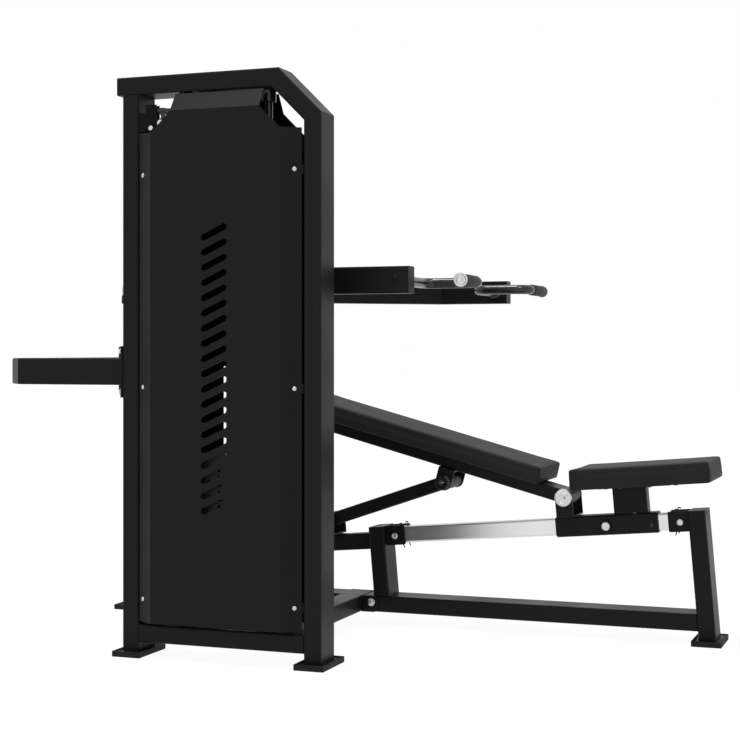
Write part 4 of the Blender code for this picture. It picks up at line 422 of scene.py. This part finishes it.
knob_gloss = coated("glossy_black_enamel", (0.0085, 0.0085, 0.009), (0.011, 0.011, 0.0115),
                    grain=300, depth=0.05, rough_low=0.16, rough_high=0.24)
stack_rubber = coated("matt_bumper_rubber", (0.010, 0.010, 0.010), (0.018, 0.018, 0.018),
                      grain=700, depth=0.4, rough_low=0.70, rough_high=0.85)
rod_profile = [(0.0105, 0.0888), (0.011, 0.0893), (0.011, 1.5157), (0.0185, 1.5157), (0.020, 1.5172),
               (0.020, 1.5492), (0.0185, 1.5507)]
bumper_profile = [(0.0113, 0.0888), (0.0235, 0.0888), (0.025, 0.0903), (0.025, 0.100), (0.0235, 0.102),
                  (0.0235, 0.117), (0.025, 0.119), (0.025, 0.1282), (0.0235, 0.1297), (0.0113, 0.1297),
                  (0.0113, 0.0888)]
for end, rod_x in (("rear", 0.541), ("front", 0.791)):
    rod = turned(end + "_guide_rod_round", rod_profile, (rod_x, stack_y, 0))
    # The rods' gloss black is a painted dark reflection, standing in for chrome that mirrors the shaded
    # inside.
    stand(rod, knob_gloss, "gloss_black", "frame", end + "_guide_rod")
    bumper = turned(end + "_bumper_round", bumper_profile, (rod_x, stack_y, 0), ring=True)
    stand(bumper, stack_rubber, "grip_rubber", "frame", end + "_bumper")

finish_nodes(zinc_plate, "selector_rod")
pin_profile = [(0.0035, -0.0225), (0.0045, -0.0215), (0.0045, 0.0503), (0.009, 0.0503), (0.009, 0.0563),
               (0.0145, 0.0578), (0.016, 0.0593), (0.016, 0.0690), (0.0145, 0.0715), (0.012, 0.0723)]
selector = turned("selector_pin_round", pin_profile, (stack_x, stack_y, 0.41985), (0, 1, 0), sides=32)
stand(selector, knob_gloss, "gloss_black", "selector", "selector_pin")


# Pulleys: four moulded nylon wheels with a V groove, a thin web and a raised hub. The upper two have round
# windows in the web. Each runs on the bolt between its cheek plates.
pulley_nylon = coated("black_nylon", (0.016, 0.016, 0.016), (0.022, 0.022, 0.022),
                      grain=250, depth=0.12, rough_low=0.38, rough_high=0.50)


def wheel(name, cable_radius, windows=0, window_radius=0.0):
    """A wheel about +Z: turned blank with its groove, then the web's windows bored through."""
    window_ring = 0.0228
    rim = cable_radius + 0.004
    deep = cable_radius - 0.0029
    blank = turned(name, [(0.00642, 0.009), (0.0120, 0.009), (0.0130, 0.0040), (deep - 0.0050, 0.0040),
                          (deep - 0.0035, 0.0072), (rim - 0.0008, 0.0075), (rim, 0.0066), (deep, 0.0016),
                          (deep, -0.0016), (rim, -0.0066), (rim - 0.0008, -0.0075), (deep - 0.0035, -0.0072),
                          (deep - 0.0050, -0.0040), (0.0130, -0.0040), (0.0120, -0.009),
                          (0.00642, -0.009), (0.00642, 0.009)], (0, 0, 0), ring=True)
    for i in range(windows):
        turn = 2 * math.pi * i / windows
        spot = (window_ring * math.cos(turn), window_ring * math.sin(turn), 0)
        bpy.ops.mesh.primitive_cylinder_add(vertices=24, radius=window_radius, depth=0.03, location=spot)
        drill = bpy.context.object
        bore = blank.modifiers.new("Window", "BOOLEAN")
        bore.object = drill
        bore.solver = "EXACT"
        bpy.context.view_layer.objects.active = blank
        bpy.ops.object.modifier_apply(modifier=bore.name)
        bpy.data.objects.remove(drill, do_unlink=True)
    bpy.ops.object.select_all(action="DESELECT")
    blank.select_set(True)
    bpy.ops.object.shade_smooth_by_angle(angle=math.radians(32))
    blank.select_set(False)
    return blank


cable_x, floor_axle_z, top_axle_z = 0.442, 0.1285, 1.470
floor_radius, top_radius = 0.035, 0.040
cheek_face = 0.0199
run_axis = (0.13274, -0.99115, 0)
bracket_coat = coated("matt_black_bracket_coat", (0.0040, 0.0040, 0.0042), (0.0060, 0.0060, 0.0062),
                      grain=900, depth=0.3, rough_low=0.50, rough_high=0.60, specular=0.08)
finish_nodes(bracket_coat, "lever_pulley_bracket", "tower_pulley_bracket", "rear_pulley_bracket",
             "stack_pulley_bracket")
floor_wheel = wheel("floor_wheel", floor_radius)
top_wheel = wheel("top_wheel", top_radius, windows=6, window_radius=0.0072)
axle_cap = button_head("axle_cap", radius=0.0092, height=0.0016, socket=0.0034)
for pattern, node_name, place, axis, body in (
        (floor_wheel, "lever_pulley", (cable_x, -0.110, floor_axle_z), (1, 0, 0), "lever_sheave"),
        (floor_wheel, "tower_floor_pulley", (cable_x, -0.6975, floor_axle_z), (1, 0, 0), "floor_sheave"),
        (top_wheel, "rear_top_pulley", (0.481646, -0.727190, top_axle_z), run_axis, "rear_sheave"),
        (top_wheel, "stack_top_pulley", (0.626354, -0.707810, top_axle_z), run_axis, "stack_sheave")):
    sheave = repeated(pattern, node_name + "_wheel", place, axis, pulley_nylon, "nylon", body)
    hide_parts(node_name)
    for side, face in ((-1, "left"), (1, "right")):
        out = Vector(axis) * side
        repeated(axle_cap, f"{node_name}_bolt_{face}", Vector(place) + out * cheek_face, out, zinc_plate,
                 "zinc_plate", "frame")
strap_bolt = button_head("strap_bolt", radius=0.0072, height=0.0036, socket=0.0030)
for side, face, place in ((1, "near", (0.4537, -0.7446, 1.457)), (-1, "far", (0.4501, -0.7178, 1.457))):
    repeated(strap_bolt, f"rear_bracket_bolt_{face}", place, Vector(run_axis) * side, zinc_plate,
             "zinc_plate", "frame")
for pattern in (floor_wheel, top_wheel, axle_cap, strap_bolt):
    bpy.data.objects.remove(pattern, do_unlink=True)


# Cable: 5 mm steel wire rope in a black nylon cover. It runs from the lever's eye down round the floor
# pulleys, up behind the stack and over the top pulleys to the selector rod. As the arm rises, a length
# that lies hidden in the lever's run goes up with it, and the stack's run rides with the stack.
cable_cover = coated("black_cable_cover", (0.010, 0.010, 0.010), (0.013, 0.013, 0.013),
                     grain=400, depth=0.05, rough_low=0.25, rough_high=0.32)


def quarter(centre, radius, start, end, steps=10):
    """Points round part of a wheel in its own plane."""
    angles = [math.radians(start + (end - start) * i / steps) for i in range(steps + 1)]
    return [(centre[0] + radius * math.cos(a), centre[1] + radius * math.sin(a)) for a in angles]


def rope(name, points, radius):
    """A round rope along its points, made a mesh."""
    bpy.ops.object.select_all(action="DESELECT")
    line = bpy.data.curves.new(name, "CURVE")
    line.dimensions = "3D"
    line.bevel_depth = radius
    line.bevel_resolution = 3
    line.use_fill_caps = True
    spline = line.splines.new("POLY")
    spline.points.add(len(points) - 1)
    for point, place in zip(spline.points, points):
        point.co = (*place, 1)
    piece = bpy.data.objects.new(name, line)
    bpy.context.collection.objects.link(piece)
    piece.select_set(True)
    bpy.context.view_layer.objects.active = piece
    bpy.ops.object.convert(target="MESH")
    piece = bpy.context.object
    bpy.ops.object.mode_set(mode="EDIT")
    bpy.ops.mesh.select_all(action="SELECT")
    bpy.ops.mesh.remove_doubles(threshold=0.00001)
    bpy.ops.mesh.normals_make_consistent(inside=False)
    bpy.ops.object.mode_set(mode="OBJECT")
    bpy.ops.object.shade_smooth_by_angle(angle=math.radians(40))
    piece.select_set(False)
    return piece


cable_half = 0.0025
rear_cable = Vector((cable_x, -0.7325, 0))
stack_line = Vector((stack_x, stack_y, 0))
along = (stack_line - rear_cable).normalized()
run_length = (stack_line - rear_cable).length
low_run = [(cable_x, y, z) for y, z in quarter((-0.110, floor_axle_z), floor_radius, 0, -90)]
low_run += [(cable_x, y, z) for y, z in quarter((-0.6975, floor_axle_z), floor_radius, 270, 180)]
over = quarter((top_radius, top_axle_z), top_radius, 180, 90)
over += quarter((run_length - top_radius, top_axle_z), top_radius, 90, 0)
top_run = [(*(rear_cable + along * s).to_2d(), z) for s, z in over]
long_run = rope("middle_cable_round", low_run + top_run, cable_half)
stand(long_run, cable_cover, "cable_cover", "frame", "middle_cable")

lever_y, rising_length, rising_half = -0.075, 0.36, 0.0024
lever_low, lever_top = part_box("lever_cable")
lever_run = rope("lever_cable_round", [(cable_x, lever_y, lever_top.z), (cable_x, lever_y, 0.5),
                                       (cable_x, lever_y, lever_low.z)], cable_half)
stand(lever_run, cable_cover, "cable_cover", "frame", "lever_cable")
rising_run = rope("lever_cable_rising", [(cable_x, lever_y, lever_top.z), (cable_x, lever_y, 0.6),
                                         (cable_x, lever_y, lever_top.z - rising_length)], rising_half)
stand(rising_run, cable_cover, "cable_cover", "stack")

stack_low, stack_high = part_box("stack_cable")
falling_run = rope("stack_cable_round", [(stack_x, stack_y, stack_low.z), (stack_x, stack_y, 0.9),
                                         (stack_x, stack_y, stack_high.z)], cable_half)
stand(falling_run, cable_cover, "cable_cover", "stack", "stack_cable")
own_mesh(falling_run)

finish_nodes(zinc_plate, "cable_eye")


# Feet: moulded rubber trays, one under each upright, and the arm stop's buffer of the same rubber. The
# steel foot plates lie inside the trays' rims.
foot_rubber = coated("moulded_foot_rubber", (0.008, 0.008, 0.008), (0.014, 0.014, 0.014),
                     grain=600, depth=0.35, rough_low=0.60, rough_high=0.75, specular=0.15)
finish_nodes(foot_rubber, "main_foot", "tower_rear_foot", "tower_front_foot", "bench_foot",
             "arm_stop_buffer")


# Frame bolts: hexagon heads on washers at the two flanges of the link beam, and a pressed silver head on
# each end of the bolt that joins the floor beams.
def hex_head(name, across, height, washer):
    """A chamfered hexagon head on a round washer, made about the origin and standing on its face."""
    bpy.ops.object.select_all(action="DESELECT")
    bpy.ops.mesh.primitive_cylinder_add(vertices=32, radius=washer, depth=0.0016,
                                        location=(0, 0, 0.0008))
    plate = bpy.context.object
    plate.name = name
    bpy.ops.object.transform_apply(location=True, rotation=True, scale=True)
    bevel = plate.modifiers.new("Rim", "BEVEL")
    bevel.width = 0.0004
    bevel.segments = 2
    bpy.ops.object.modifier_apply(modifier=bevel.name)
    bpy.ops.mesh.primitive_cylinder_add(vertices=6, radius=across / math.sqrt(3), depth=height,
                                        location=(0, 0, 0.0012 + height / 2))
    head = bpy.context.object
    bpy.ops.object.transform_apply(location=True, rotation=True, scale=True)
    bpy.ops.mesh.primitive_cone_add(vertices=32, radius1=across * 1.05, radius2=across * 0.40,
                                    depth=height * 1.6, location=(0, 0, 0.0012 + height * 0.2))
    crown = bpy.context.object
    trim = head.modifiers.new("Crown", "BOOLEAN")
    trim.operation = "INTERSECT"
    trim.object = crown
    bpy.context.view_layer.objects.active = head
    bpy.ops.object.modifier_apply(modifier=trim.name)
    bpy.data.objects.remove(crown, do_unlink=True)
    bpy.ops.object.select_all(action="DESELECT")
    head.select_set(True)
    plate.select_set(True)
    bpy.context.view_layer.objects.active = plate
    bpy.ops.object.join()
    bpy.ops.object.shade_smooth_by_angle(angle=math.radians(28))
    plate.select_set(False)
    return plate


link_z, bolt_rise = 0.785, 0.056
upright_face = 0.394 - 0.025 - 0.0003 - 0.006
main_face = -0.050 - 0.0003 - 0.006
link_bolts = [((upright_face, stack_y + across, link_z + rise), (-1, 0, 0))
              for across in (-0.038, 0.038) for rise in (-bolt_rise, bolt_rise)]
link_bolts += [((-0.006, main_face, link_z + rise), (0, -1, 0)) for rise in (-bolt_rise, bolt_rise)]
frame_bolt = hex_head("frame_bolt", across=0.017, height=0.0072, washer=0.0115)
for number, (place, axis) in enumerate(link_bolts):
    repeated(frame_bolt, f"link_bolt_{number + 1}", place, axis, zinc_plate, "zinc_plate", "frame")
bpy.data.objects.remove(frame_bolt, do_unlink=True)

joint_x, joint_face, joint_z = 0.846, 0.0553, 0.069
joint_head = [(0.0118, 0.0002), (0.0118, 0.0022), (0.0102, 0.0030), (0.0090, 0.0062), (0.0072, 0.0082),
              (0.0040, 0.0088), (0.0034, 0.0070)]
for side, name in ((-1, "near"), (1, "far")):
    cap = turned(f"floor_joint_bolt_{name}", joint_head, (joint_x, side * joint_face, joint_z),
                 (0, side, 0), sides=32)
    stand(cap, zinc_plate, "zinc_plate", "frame")


# Arm pivot: a plated axle through the two pillow blocks, closed by thick silver caps with a turned groove.
# It is turned in one, from one cap's face to the other's.
pivot_z = 1.039
axle_half = [(0.0232, 0.0597), (0.0248, 0.0591), (0.0255, 0.0579), (0.0255, 0.0510), (0.0245, 0.0500),
             (0.0125, 0.0500)]
face_groove = [(0.0030, 0.0576), (0.0062, 0.0580), (0.0080, 0.0597), (0.0150, 0.0597), (0.0160, 0.0580),
               (0.0180, 0.0580), (0.0190, 0.0597)]
axle_side = face_groove + axle_half
axle = turned("pivot_axle_round", axle_side + [(r, -h) for r, h in reversed(axle_side)],
              (0, 0, pivot_z), (0, 1, 0))
stand(axle, zinc_plate, "zinc_plate", "frame", "pivot_axle")


# Handles: 30 mm round tube bent in a hook, in glossy black, welded to a ring flange on each arm. A grained
# rubber grip covers the end, which is closed by a silver cap.
def bent_tube(name, radius, start, moves, sides=32):
    """A tube drawn along runs and bends from a circle that faces -Y."""
    bpy.ops.object.select_all(action="DESELECT")
    bpy.ops.mesh.primitive_circle_add(vertices=sides, radius=radius, fill_type="NGON",
                                      location=start, rotation=(math.radians(90), 0, 0))
    tube = bpy.context.object
    tube.name = name
    bpy.ops.object.transform_apply(location=True, rotation=True, scale=True)
    bpy.ops.object.mode_set(mode="EDIT")
    bpy.ops.mesh.select_all(action="SELECT")
    for kind, first, second in moves:
        if kind == "run":
            bpy.ops.mesh.extrude_region_move(TRANSFORM_OT_translate={"value": first})
        else:
            bpy.ops.mesh.spin(steps=12, dupli=False, angle=second, center=first, axis=(0, 0, 1))
    bpy.ops.mesh.select_all(action="SELECT")
    bpy.ops.mesh.remove_doubles(threshold=0.00001)
    bpy.ops.mesh.normals_make_consistent(inside=False)
    bpy.ops.object.mode_set(mode="OBJECT")
    bpy.ops.object.shade_smooth_by_angle(angle=math.radians(40))
    tube.select_set(False)
    return tube


handle_gloss = coated("glossy_black_tube_coat", (0.0075, 0.0075, 0.008), (0.0095, 0.0095, 0.010),
                      grain=500, depth=0.04, rough_low=0.20, rough_high=0.27)
grip_rubber = coated("grained_grip_rubber", (0.010, 0.010, 0.010), (0.022, 0.022, 0.022),
                     grain=850, depth=0.22, rough_low=0.60, rough_high=0.75, specular=0.25)
arm_face = 0.502 - 0.025 - 0.0003
handle_back, handle_front = 1.088, 1.2565
handle_in, grip_from, handle_end = 0.262, 0.312, 0.452
bend_back, bend_front, tube_radius = 0.035, 0.040, 0.015
flange_profile = [(0.0150, 0), (0.0205, 0), (0.0220, 0.0012), (0.0220, 0.0032), (0.0205, 0.0042),
                  (0.0175, 0.0052), (0.0150, 0.0085)]
grip_profile = [(0.0153, 0), (0.0160, 0), (0.0168, 0.0004), (0.0173, 0.0011), (0.0175, 0.0021),
                (0.0175, 0.1380), (0.0171, 0.1391), (0.0164, 0.1396), (0.0153, 0.1396), (0.0153, 0)]
cap_profile = [(0.0190, 0.0001), (0.0197, 0.0006), (0.0200, 0.0014), (0.0200, 0.0032), (0.0195, 0.0042),
               (0.0183, 0.0049), (0.0165, 0.0050), (0.0150, 0.0040), (0.0135, 0.0038), (0.0120, 0.0045),
               (0.0070, 0.0048), (0.0060, 0.0042), (0.0030, 0.0040)]
for name, side in (("near", -1), ("far", 1)):
    quarter_turn = -side * math.pi / 2
    tube = bent_tube(name + "_handle_round", tube_radius, (handle_back, side * arm_face, pivot_z), [
        ("run", (0, -side * (arm_face - handle_in - bend_back), 0), None),
        ("bend", (handle_back + bend_back, side * (handle_in + bend_back), pivot_z), quarter_turn),
        ("run", (handle_front - handle_back - bend_back - bend_front, 0, 0), None),
        ("bend", (handle_front - bend_front, side * (handle_in + bend_front), pivot_z), quarter_turn),
        ("run", (0, side * (handle_end - handle_in - bend_front), 0), None)])
    stand(tube, handle_gloss, "gloss_black", "arm", name + "_handle")
    flange = turned(name + "_handle_flange", flange_profile, (handle_back, side * arm_face, pivot_z),
                    (0, -side, 0))
    stand(flange, handle_gloss, "gloss_black", "arm")
    grip = turned(name + "_grip_round", grip_profile, (handle_front, side * grip_from, pivot_z),
                  (0, side, 0), ring=True)
    stand(grip, grip_rubber, "grip_rubber", "arm", name + "_grip")
    end_cap = turned(name + "_grip_cap", cap_profile, (handle_front, side * handle_end, pivot_z),
                     (0, side, 0))
    stand(end_cap, zinc_plate, "zinc_plate", "arm")
    arm_bolt = button_head(name + "_handle_bolt", radius=0.0095, height=0.0045, socket=0.0036)
    settle(arm_bolt, (1.0905, side * 0.5272, 1.0400), (0, side, 0))
    stand(arm_bolt, powder_coat, "powder_coat", "arm")


# Bench rail: chromed 50 mm square tube between two tilted posts. Silver bolts clamp it between ears, and a
# black wire clip stands at each ear. A small black plug closes the front post's hole.
tilt = math.radians(4.94)
rail_start_x, rail_start_z = 0.9685, 0.2796
rail_way = Vector((math.cos(tilt), 0, math.sin(tilt)))
rail_up = Vector((-math.sin(tilt), 0, math.cos(tilt)))
rail_chrome = plated("bench_rail_chrome", (0.68, 0.68, 0.68), (0.64, 0.64, 0.64), stretch=(8, 500, 500),
                     depth=0.03, rough_low=0.27, rough_high=0.33)
finish_nodes(rail_chrome, "bench_rail")


def on_rail(x, above=0.0, y=0.0):
    """A point by its x along the rail's middle, moved square to the rail and across it."""
    return Vector((x, y, rail_start_z + (x - rail_start_x) * math.tan(tilt))) + rail_up * above


ear_face, clip_side, clip_wire = 0.0303, 0.0278, 0.0018
ear_bolt_profile = [(0.0096, 0.0001), (0.0100, 0.0008), (0.0100, 0.0024), (0.0088, 0.0044),
                    (0.0060, 0.0054), (0.0052, 0.0046), (0.0030, 0.0046)]
for name, bolt_x in (("rear", 0.9149), ("front", 1.7879)):
    for side, face in ((-1, "near"), (1, "far")):
        bolt = turned(f"{name}_ear_bolt_{face}", ear_bolt_profile,
                      on_rail(bolt_x, -0.0021, side * ear_face), (0, side, 0), sides=32)
        stand(bolt, zinc_plate, "zinc_plate", "frame")

wire_enamel = coated("black_spring_wire", (0.006, 0.006, 0.006), (0.009, 0.009, 0.009),
                     grain=500, depth=0.05, rough_low=0.28, rough_high=0.36)
clip_line = [(0.0032, -0.0395), (0.0008, -0.0330), (0, -0.0305), (0, 0.0310)]
clip_line += [(-0.0038 + 0.0038 * math.cos(math.radians(a)), 0.0318 + 0.0042 * math.sin(math.radians(a)))
              for a in range(0, 200, 20)]
for tag, clip_x, way in (("rear", 0.9396, 1), ("front", 1.7750, -1)):
    for side, face in ((-1, "near"), (1, "far")):
        wire = [on_rail(clip_x + way * u, v, side * clip_side) for u, v in clip_line]
        clip = rope(f"{tag}_clip_{face}", wire, clip_wire)
        stand(clip, wire_enamel, "gloss_black", "frame")

plug_profile = [(0.0048, 0.0001), (0.0052, 0.0006), (0.0052, 0.0012), (0.0044, 0.0018), (0.0020, 0.0020)]
post_plug = turned("front_post_plug", plug_profile, (1.8622, -0.0113, 0.3774), rail_way, sides=24)
stand(post_plug, wire_enamel, "gloss_black", "frame")


# Seat carriage: a sleeve with a nylon glide that runs on the rail, its round-headed lock pull, and the
# socket screws of its sleeve, its pillar and the seat.
carriage_nylon = coated("carriage_nylon", (0.014, 0.014, 0.014), (0.020, 0.020, 0.020),
                        grain=300, depth=0.1, rough_low=0.42, rough_high=0.52)
finish_nodes(carriage_nylon, "carriage_glide")
lock_at = on_rail(1.574, -0.002, -0.030)
pull = turned("lock_pull_round", [(0.0046, -0.0040), (0.0050, -0.0036), (0.0050, 0.0060), (0.0088, 0.0060),
                                  (0.0115, 0.0066), (0.0125, 0.0080), (0.0125, 0.0175), (0.0118, 0.0192),
                                  (0.0104, 0.0200), (0.0062, 0.0200), (0.0055, 0.0194), (0.0030, 0.0194)],
              lock_at, (0, -1, 0))
stand(pull, zinc_plate, "zinc_plate", "lock", "lock_knob")
collar = turned("lock_collar", [(0.0058, 0.0002), (0.0098, 0.0002), (0.0102, 0.0008), (0.0102, 0.0040),
                                (0.0095, 0.0050), (0.0058, 0.0050), (0.0058, 0.0002)],
                lock_at, (0, -1, 0), ring=True)
stand(collar, zinc_plate, "zinc_plate", "carriage")

dark_screw = button_head("dark_screw", radius=0.0058, height=0.0030, socket=0.0023)
seat_under = on_rail(1.6965, 0.1133)
screws = [("sleeve_screw_near", (1.7068, -0.0301, 0.3378), (0, -1, 0)),
          ("sleeve_screw_far", (1.7068, 0.0301, 0.3378), (0, 1, 0)),
          ("pillar_screw_near", (1.6552, -0.0251, 0.3694), (0, -1, 0)),
          ("pillar_screw_far", (1.6552, 0.0251, 0.3694), (0, 1, 0))]
for kind, below, shifts, half in (("seat_screw", 0.0016, (-0.103, 0.100), 0.09),
                                  ("seat_plate_screw", 0.0054, (-0.068, 0.018), 0.058)):
    corners = [(shift, across) for shift in shifts for across in (-half, half)]
    for number, (shift, across) in enumerate(corners):
        spot = seat_under + rail_way * shift + Vector((0, across, 0)) - rail_up * below
        screws.append((f"{kind}_{number + 1}", spot, -rail_up))
for tag, place, axis in screws:
    repeated(dark_screw, tag, place, axis, knob_gloss, "gloss_black", "carriage")
bpy.data.objects.remove(dark_screw, do_unlink=True)


# Hinge and prop pins: capped cross pins, silver at the seat hinge and black at the prop, with a turned ring
# and a small bright centre in each face.
hinge = Vector((1.452, 0, 0.4113))
centre_face = 0.0684
centre_profile = [(0.0022, 0), (0.0026, 0.0006), (0.0020, 0.0012), (0.0008, 0.0014)]
pin_ends = (("hinge_pin", hinge, 0.026, zinc_plate, "zinc_plate", "carriage"),
            ("prop_pin", (1.081, 0, 0.4450), 0.0235, knob_gloss, "gloss_black", "backrest"))
for name, place, cap_radius, finish, slot, body in pin_ends:
    end_face = [(0.0025, 0.0685), (0.0060, 0.0692), (0.0072, 0.0698), (cap_radius * 0.52, 0.0698),
                (cap_radius * 0.55, 0.0692), (cap_radius * 0.62, 0.0692), (cap_radius * 0.65, 0.0698),
                (cap_radius - 0.0016, 0.0698), (cap_radius - 0.0004, 0.0692), (cap_radius, 0.0682),
                (cap_radius, 0.0656), (cap_radius - 0.0006, 0.0653), (0.0080, 0.0653)]
    pin = turned(name + "_round", end_face + [(r, -h) for r, h in reversed(end_face)], place, (0, 1, 0))
    stand(pin, finish, slot, body, name)
    for side, face in ((-1, "near"), (1, "far")):
        dot = turned(f"{name}_centre_{face}", centre_profile, (place[0], side * centre_face, place[2]),
                     (0, side, 0), sides=20)
        stand(dot, zinc_plate, "zinc_plate", body)


# Pads: black vinyl over foam on a board, with softly rounded rims and a low crown. The vinyl is pulled
# round the board, which is screwed on from below.
def vinyl_material():
    """Black upholstery vinyl: pebbled grain from cells, and cloudy shade and gloss."""
    made = bpy.data.materials.new("pebbled_black_vinyl")
    made.use_nodes = True
    tree = made.node_tree
    shader = tree.nodes["Principled BSDF"]
    where = tree.nodes.new("ShaderNodeTexCoord")
    pebbles = tree.nodes.new("ShaderNodeTexVoronoi")
    fine = tree.nodes.new("ShaderNodeTexNoise")
    cloud = tree.nodes.new("ShaderNodeTexNoise")
    heights = tree.nodes.new("ShaderNodeMath")
    bump = tree.nodes.new("ShaderNodeBump")
    shade = tree.nodes.new("ShaderNodeMix")
    gloss = tree.nodes.new("ShaderNodeMapRange")
    pebbles.inputs["Scale"].default_value = 620.0
    fine.inputs["Scale"].default_value = 1500.0
    cloud.inputs["Scale"].default_value = 9.0
    heights.operation = "ADD"
    bump.inputs["Strength"].default_value = 0.35
    bump.inputs["Distance"].default_value = 0.0005
    shade.data_type = "RGBA"
    shade.inputs["A"].default_value = (0.0200, 0.0200, 0.0200, 1)
    shade.inputs["B"].default_value = (0.0270, 0.0270, 0.0272, 1)
    gloss.inputs["To Min"].default_value = 0.42
    gloss.inputs["To Max"].default_value = 0.54
    shader.inputs["Specular IOR Level"].default_value = 0.03
    link = tree.links.new
    for texture in (pebbles, fine, cloud):
        link(where.outputs["Object"], texture.inputs["Vector"])
    link(pebbles.outputs["Distance"], heights.inputs[0])
    link(fine.outputs["Fac"], heights.inputs[1])
    link(heights.outputs["Value"], bump.inputs["Height"])
    link(cloud.outputs["Fac"], shade.inputs["Factor"])
    link(cloud.outputs["Fac"], gloss.inputs["Value"])
    link(shade.outputs["Result"], shader.inputs["Base Color"])
    link(gloss.outputs["Result"], shader.inputs["Roughness"])
    link(bump.outputs["Normal"], shader.inputs["Normal"])
    return made


pad_vinyl = vinyl_material()


def foam_pad(name, node_name, place, along_pad, length, thick, width=0.262, corner=0.010):
    """A board-backed pad: a bevelled block, remeshed, swelled by a short cloth run and smoothed."""
    inset, board_thick, rim_width, voxel, most_swell = 0.0010, 0.010, 0.005, 0.005, 0.0016
    bpy.ops.object.select_all(action="DESELECT")
    bpy.ops.mesh.primitive_cube_add(size=1, location=(0, 0, thick / 2))
    block = bpy.context.object
    block.name = name
    block.scale = (length - 2 * inset, width - 2 * inset, thick - inset)
    bpy.ops.object.transform_apply(location=True, rotation=True, scale=True)
    bpy.ops.object.mode_set(mode="EDIT")
    bpy.ops.mesh.select_mode(type="EDGE")
    bpy.ops.mesh.select_all(action="DESELECT")
    bpy.ops.object.mode_set(mode="OBJECT")
    for side_edge in block.data.edges:
        ends = [block.data.vertices[i].co for i in side_edge.vertices]
        side_edge.select = (ends[0] - ends[1]).to_2d().length < 0.001
    bpy.ops.object.mode_set(mode="EDIT")
    bpy.ops.mesh.bevel(offset=corner, segments=5, affect="EDGES")
    bpy.ops.object.mode_set(mode="OBJECT")
    round_rims = block.modifiers.new("Rims", "BEVEL")
    round_rims.limit_method = "ANGLE"
    round_rims.angle_limit = math.radians(50)
    round_rims.width = rim_width
    round_rims.segments = 3
    bpy.ops.object.modifier_apply(modifier=round_rims.name)
    block.data.remesh_voxel_size = voxel
    bpy.ops.object.voxel_remesh()
    rest = [v.co.copy() for v in block.data.vertices]
    board = block.vertex_groups.new(name="board")
    board.add([v.index for v in block.data.vertices if v.co.z < board_thick], 1.0, "REPLACE")
    cloth = block.modifiers.new("Cloth", "CLOTH")
    cloth.settings.use_pressure = True
    cloth.settings.uniform_pressure_force = 4
    cloth.settings.effector_weights.gravity = 0
    cloth.settings.vertex_group_mass = board.name
    for step in range(1, 15):
        bpy.context.scene.frame_set(step)
    bpy.ops.object.modifier_apply(modifier=cloth.name)
    bpy.context.scene.frame_set(1)
    for vert, before in zip(block.data.vertices, rest):
        swell = vert.co - before
        if swell.length > most_swell:
            vert.co = before + swell.normalized() * most_swell
    block.vertex_groups.clear()
    smooth = block.modifiers.new("Smooth", "SUBSURF")
    smooth.levels = 1
    smooth.render_levels = 1
    bpy.ops.object.modifier_apply(modifier=smooth.name)
    along_pad = Vector(along_pad).normalized()
    up = along_pad.cross(Vector((0, 1, 0)))
    turn = Matrix((along_pad, Vector((0, 1, 0)), up)).transposed().to_4x4()
    block.data.transform(Matrix.Translation(place) @ turn)
    bpy.ops.object.shade_smooth()
    block.select_set(False)
    stand(block, pad_vinyl, "pad_vinyl", "backrest" if "back" in name else "carriage", node_name)
    return block


lean = math.radians(15)
back_way = Vector((math.cos(lean), 0, -math.sin(lean)))
back_up = Vector((math.sin(lean), 0, math.cos(lean)))
back_middle = hinge - back_way * (0.0756 + 0.390) + back_up * 0.0228
seat_middle = on_rail(1.6960, 0.1118)
foam_pad("backrest_pad_vinyl", "backrest_pad", back_middle, back_way, length=0.787, thick=0.0505)
foam_pad("seat_pad_vinyl", "seat_pad", seat_middle, rail_way, length=0.4080, thick=0.0610)
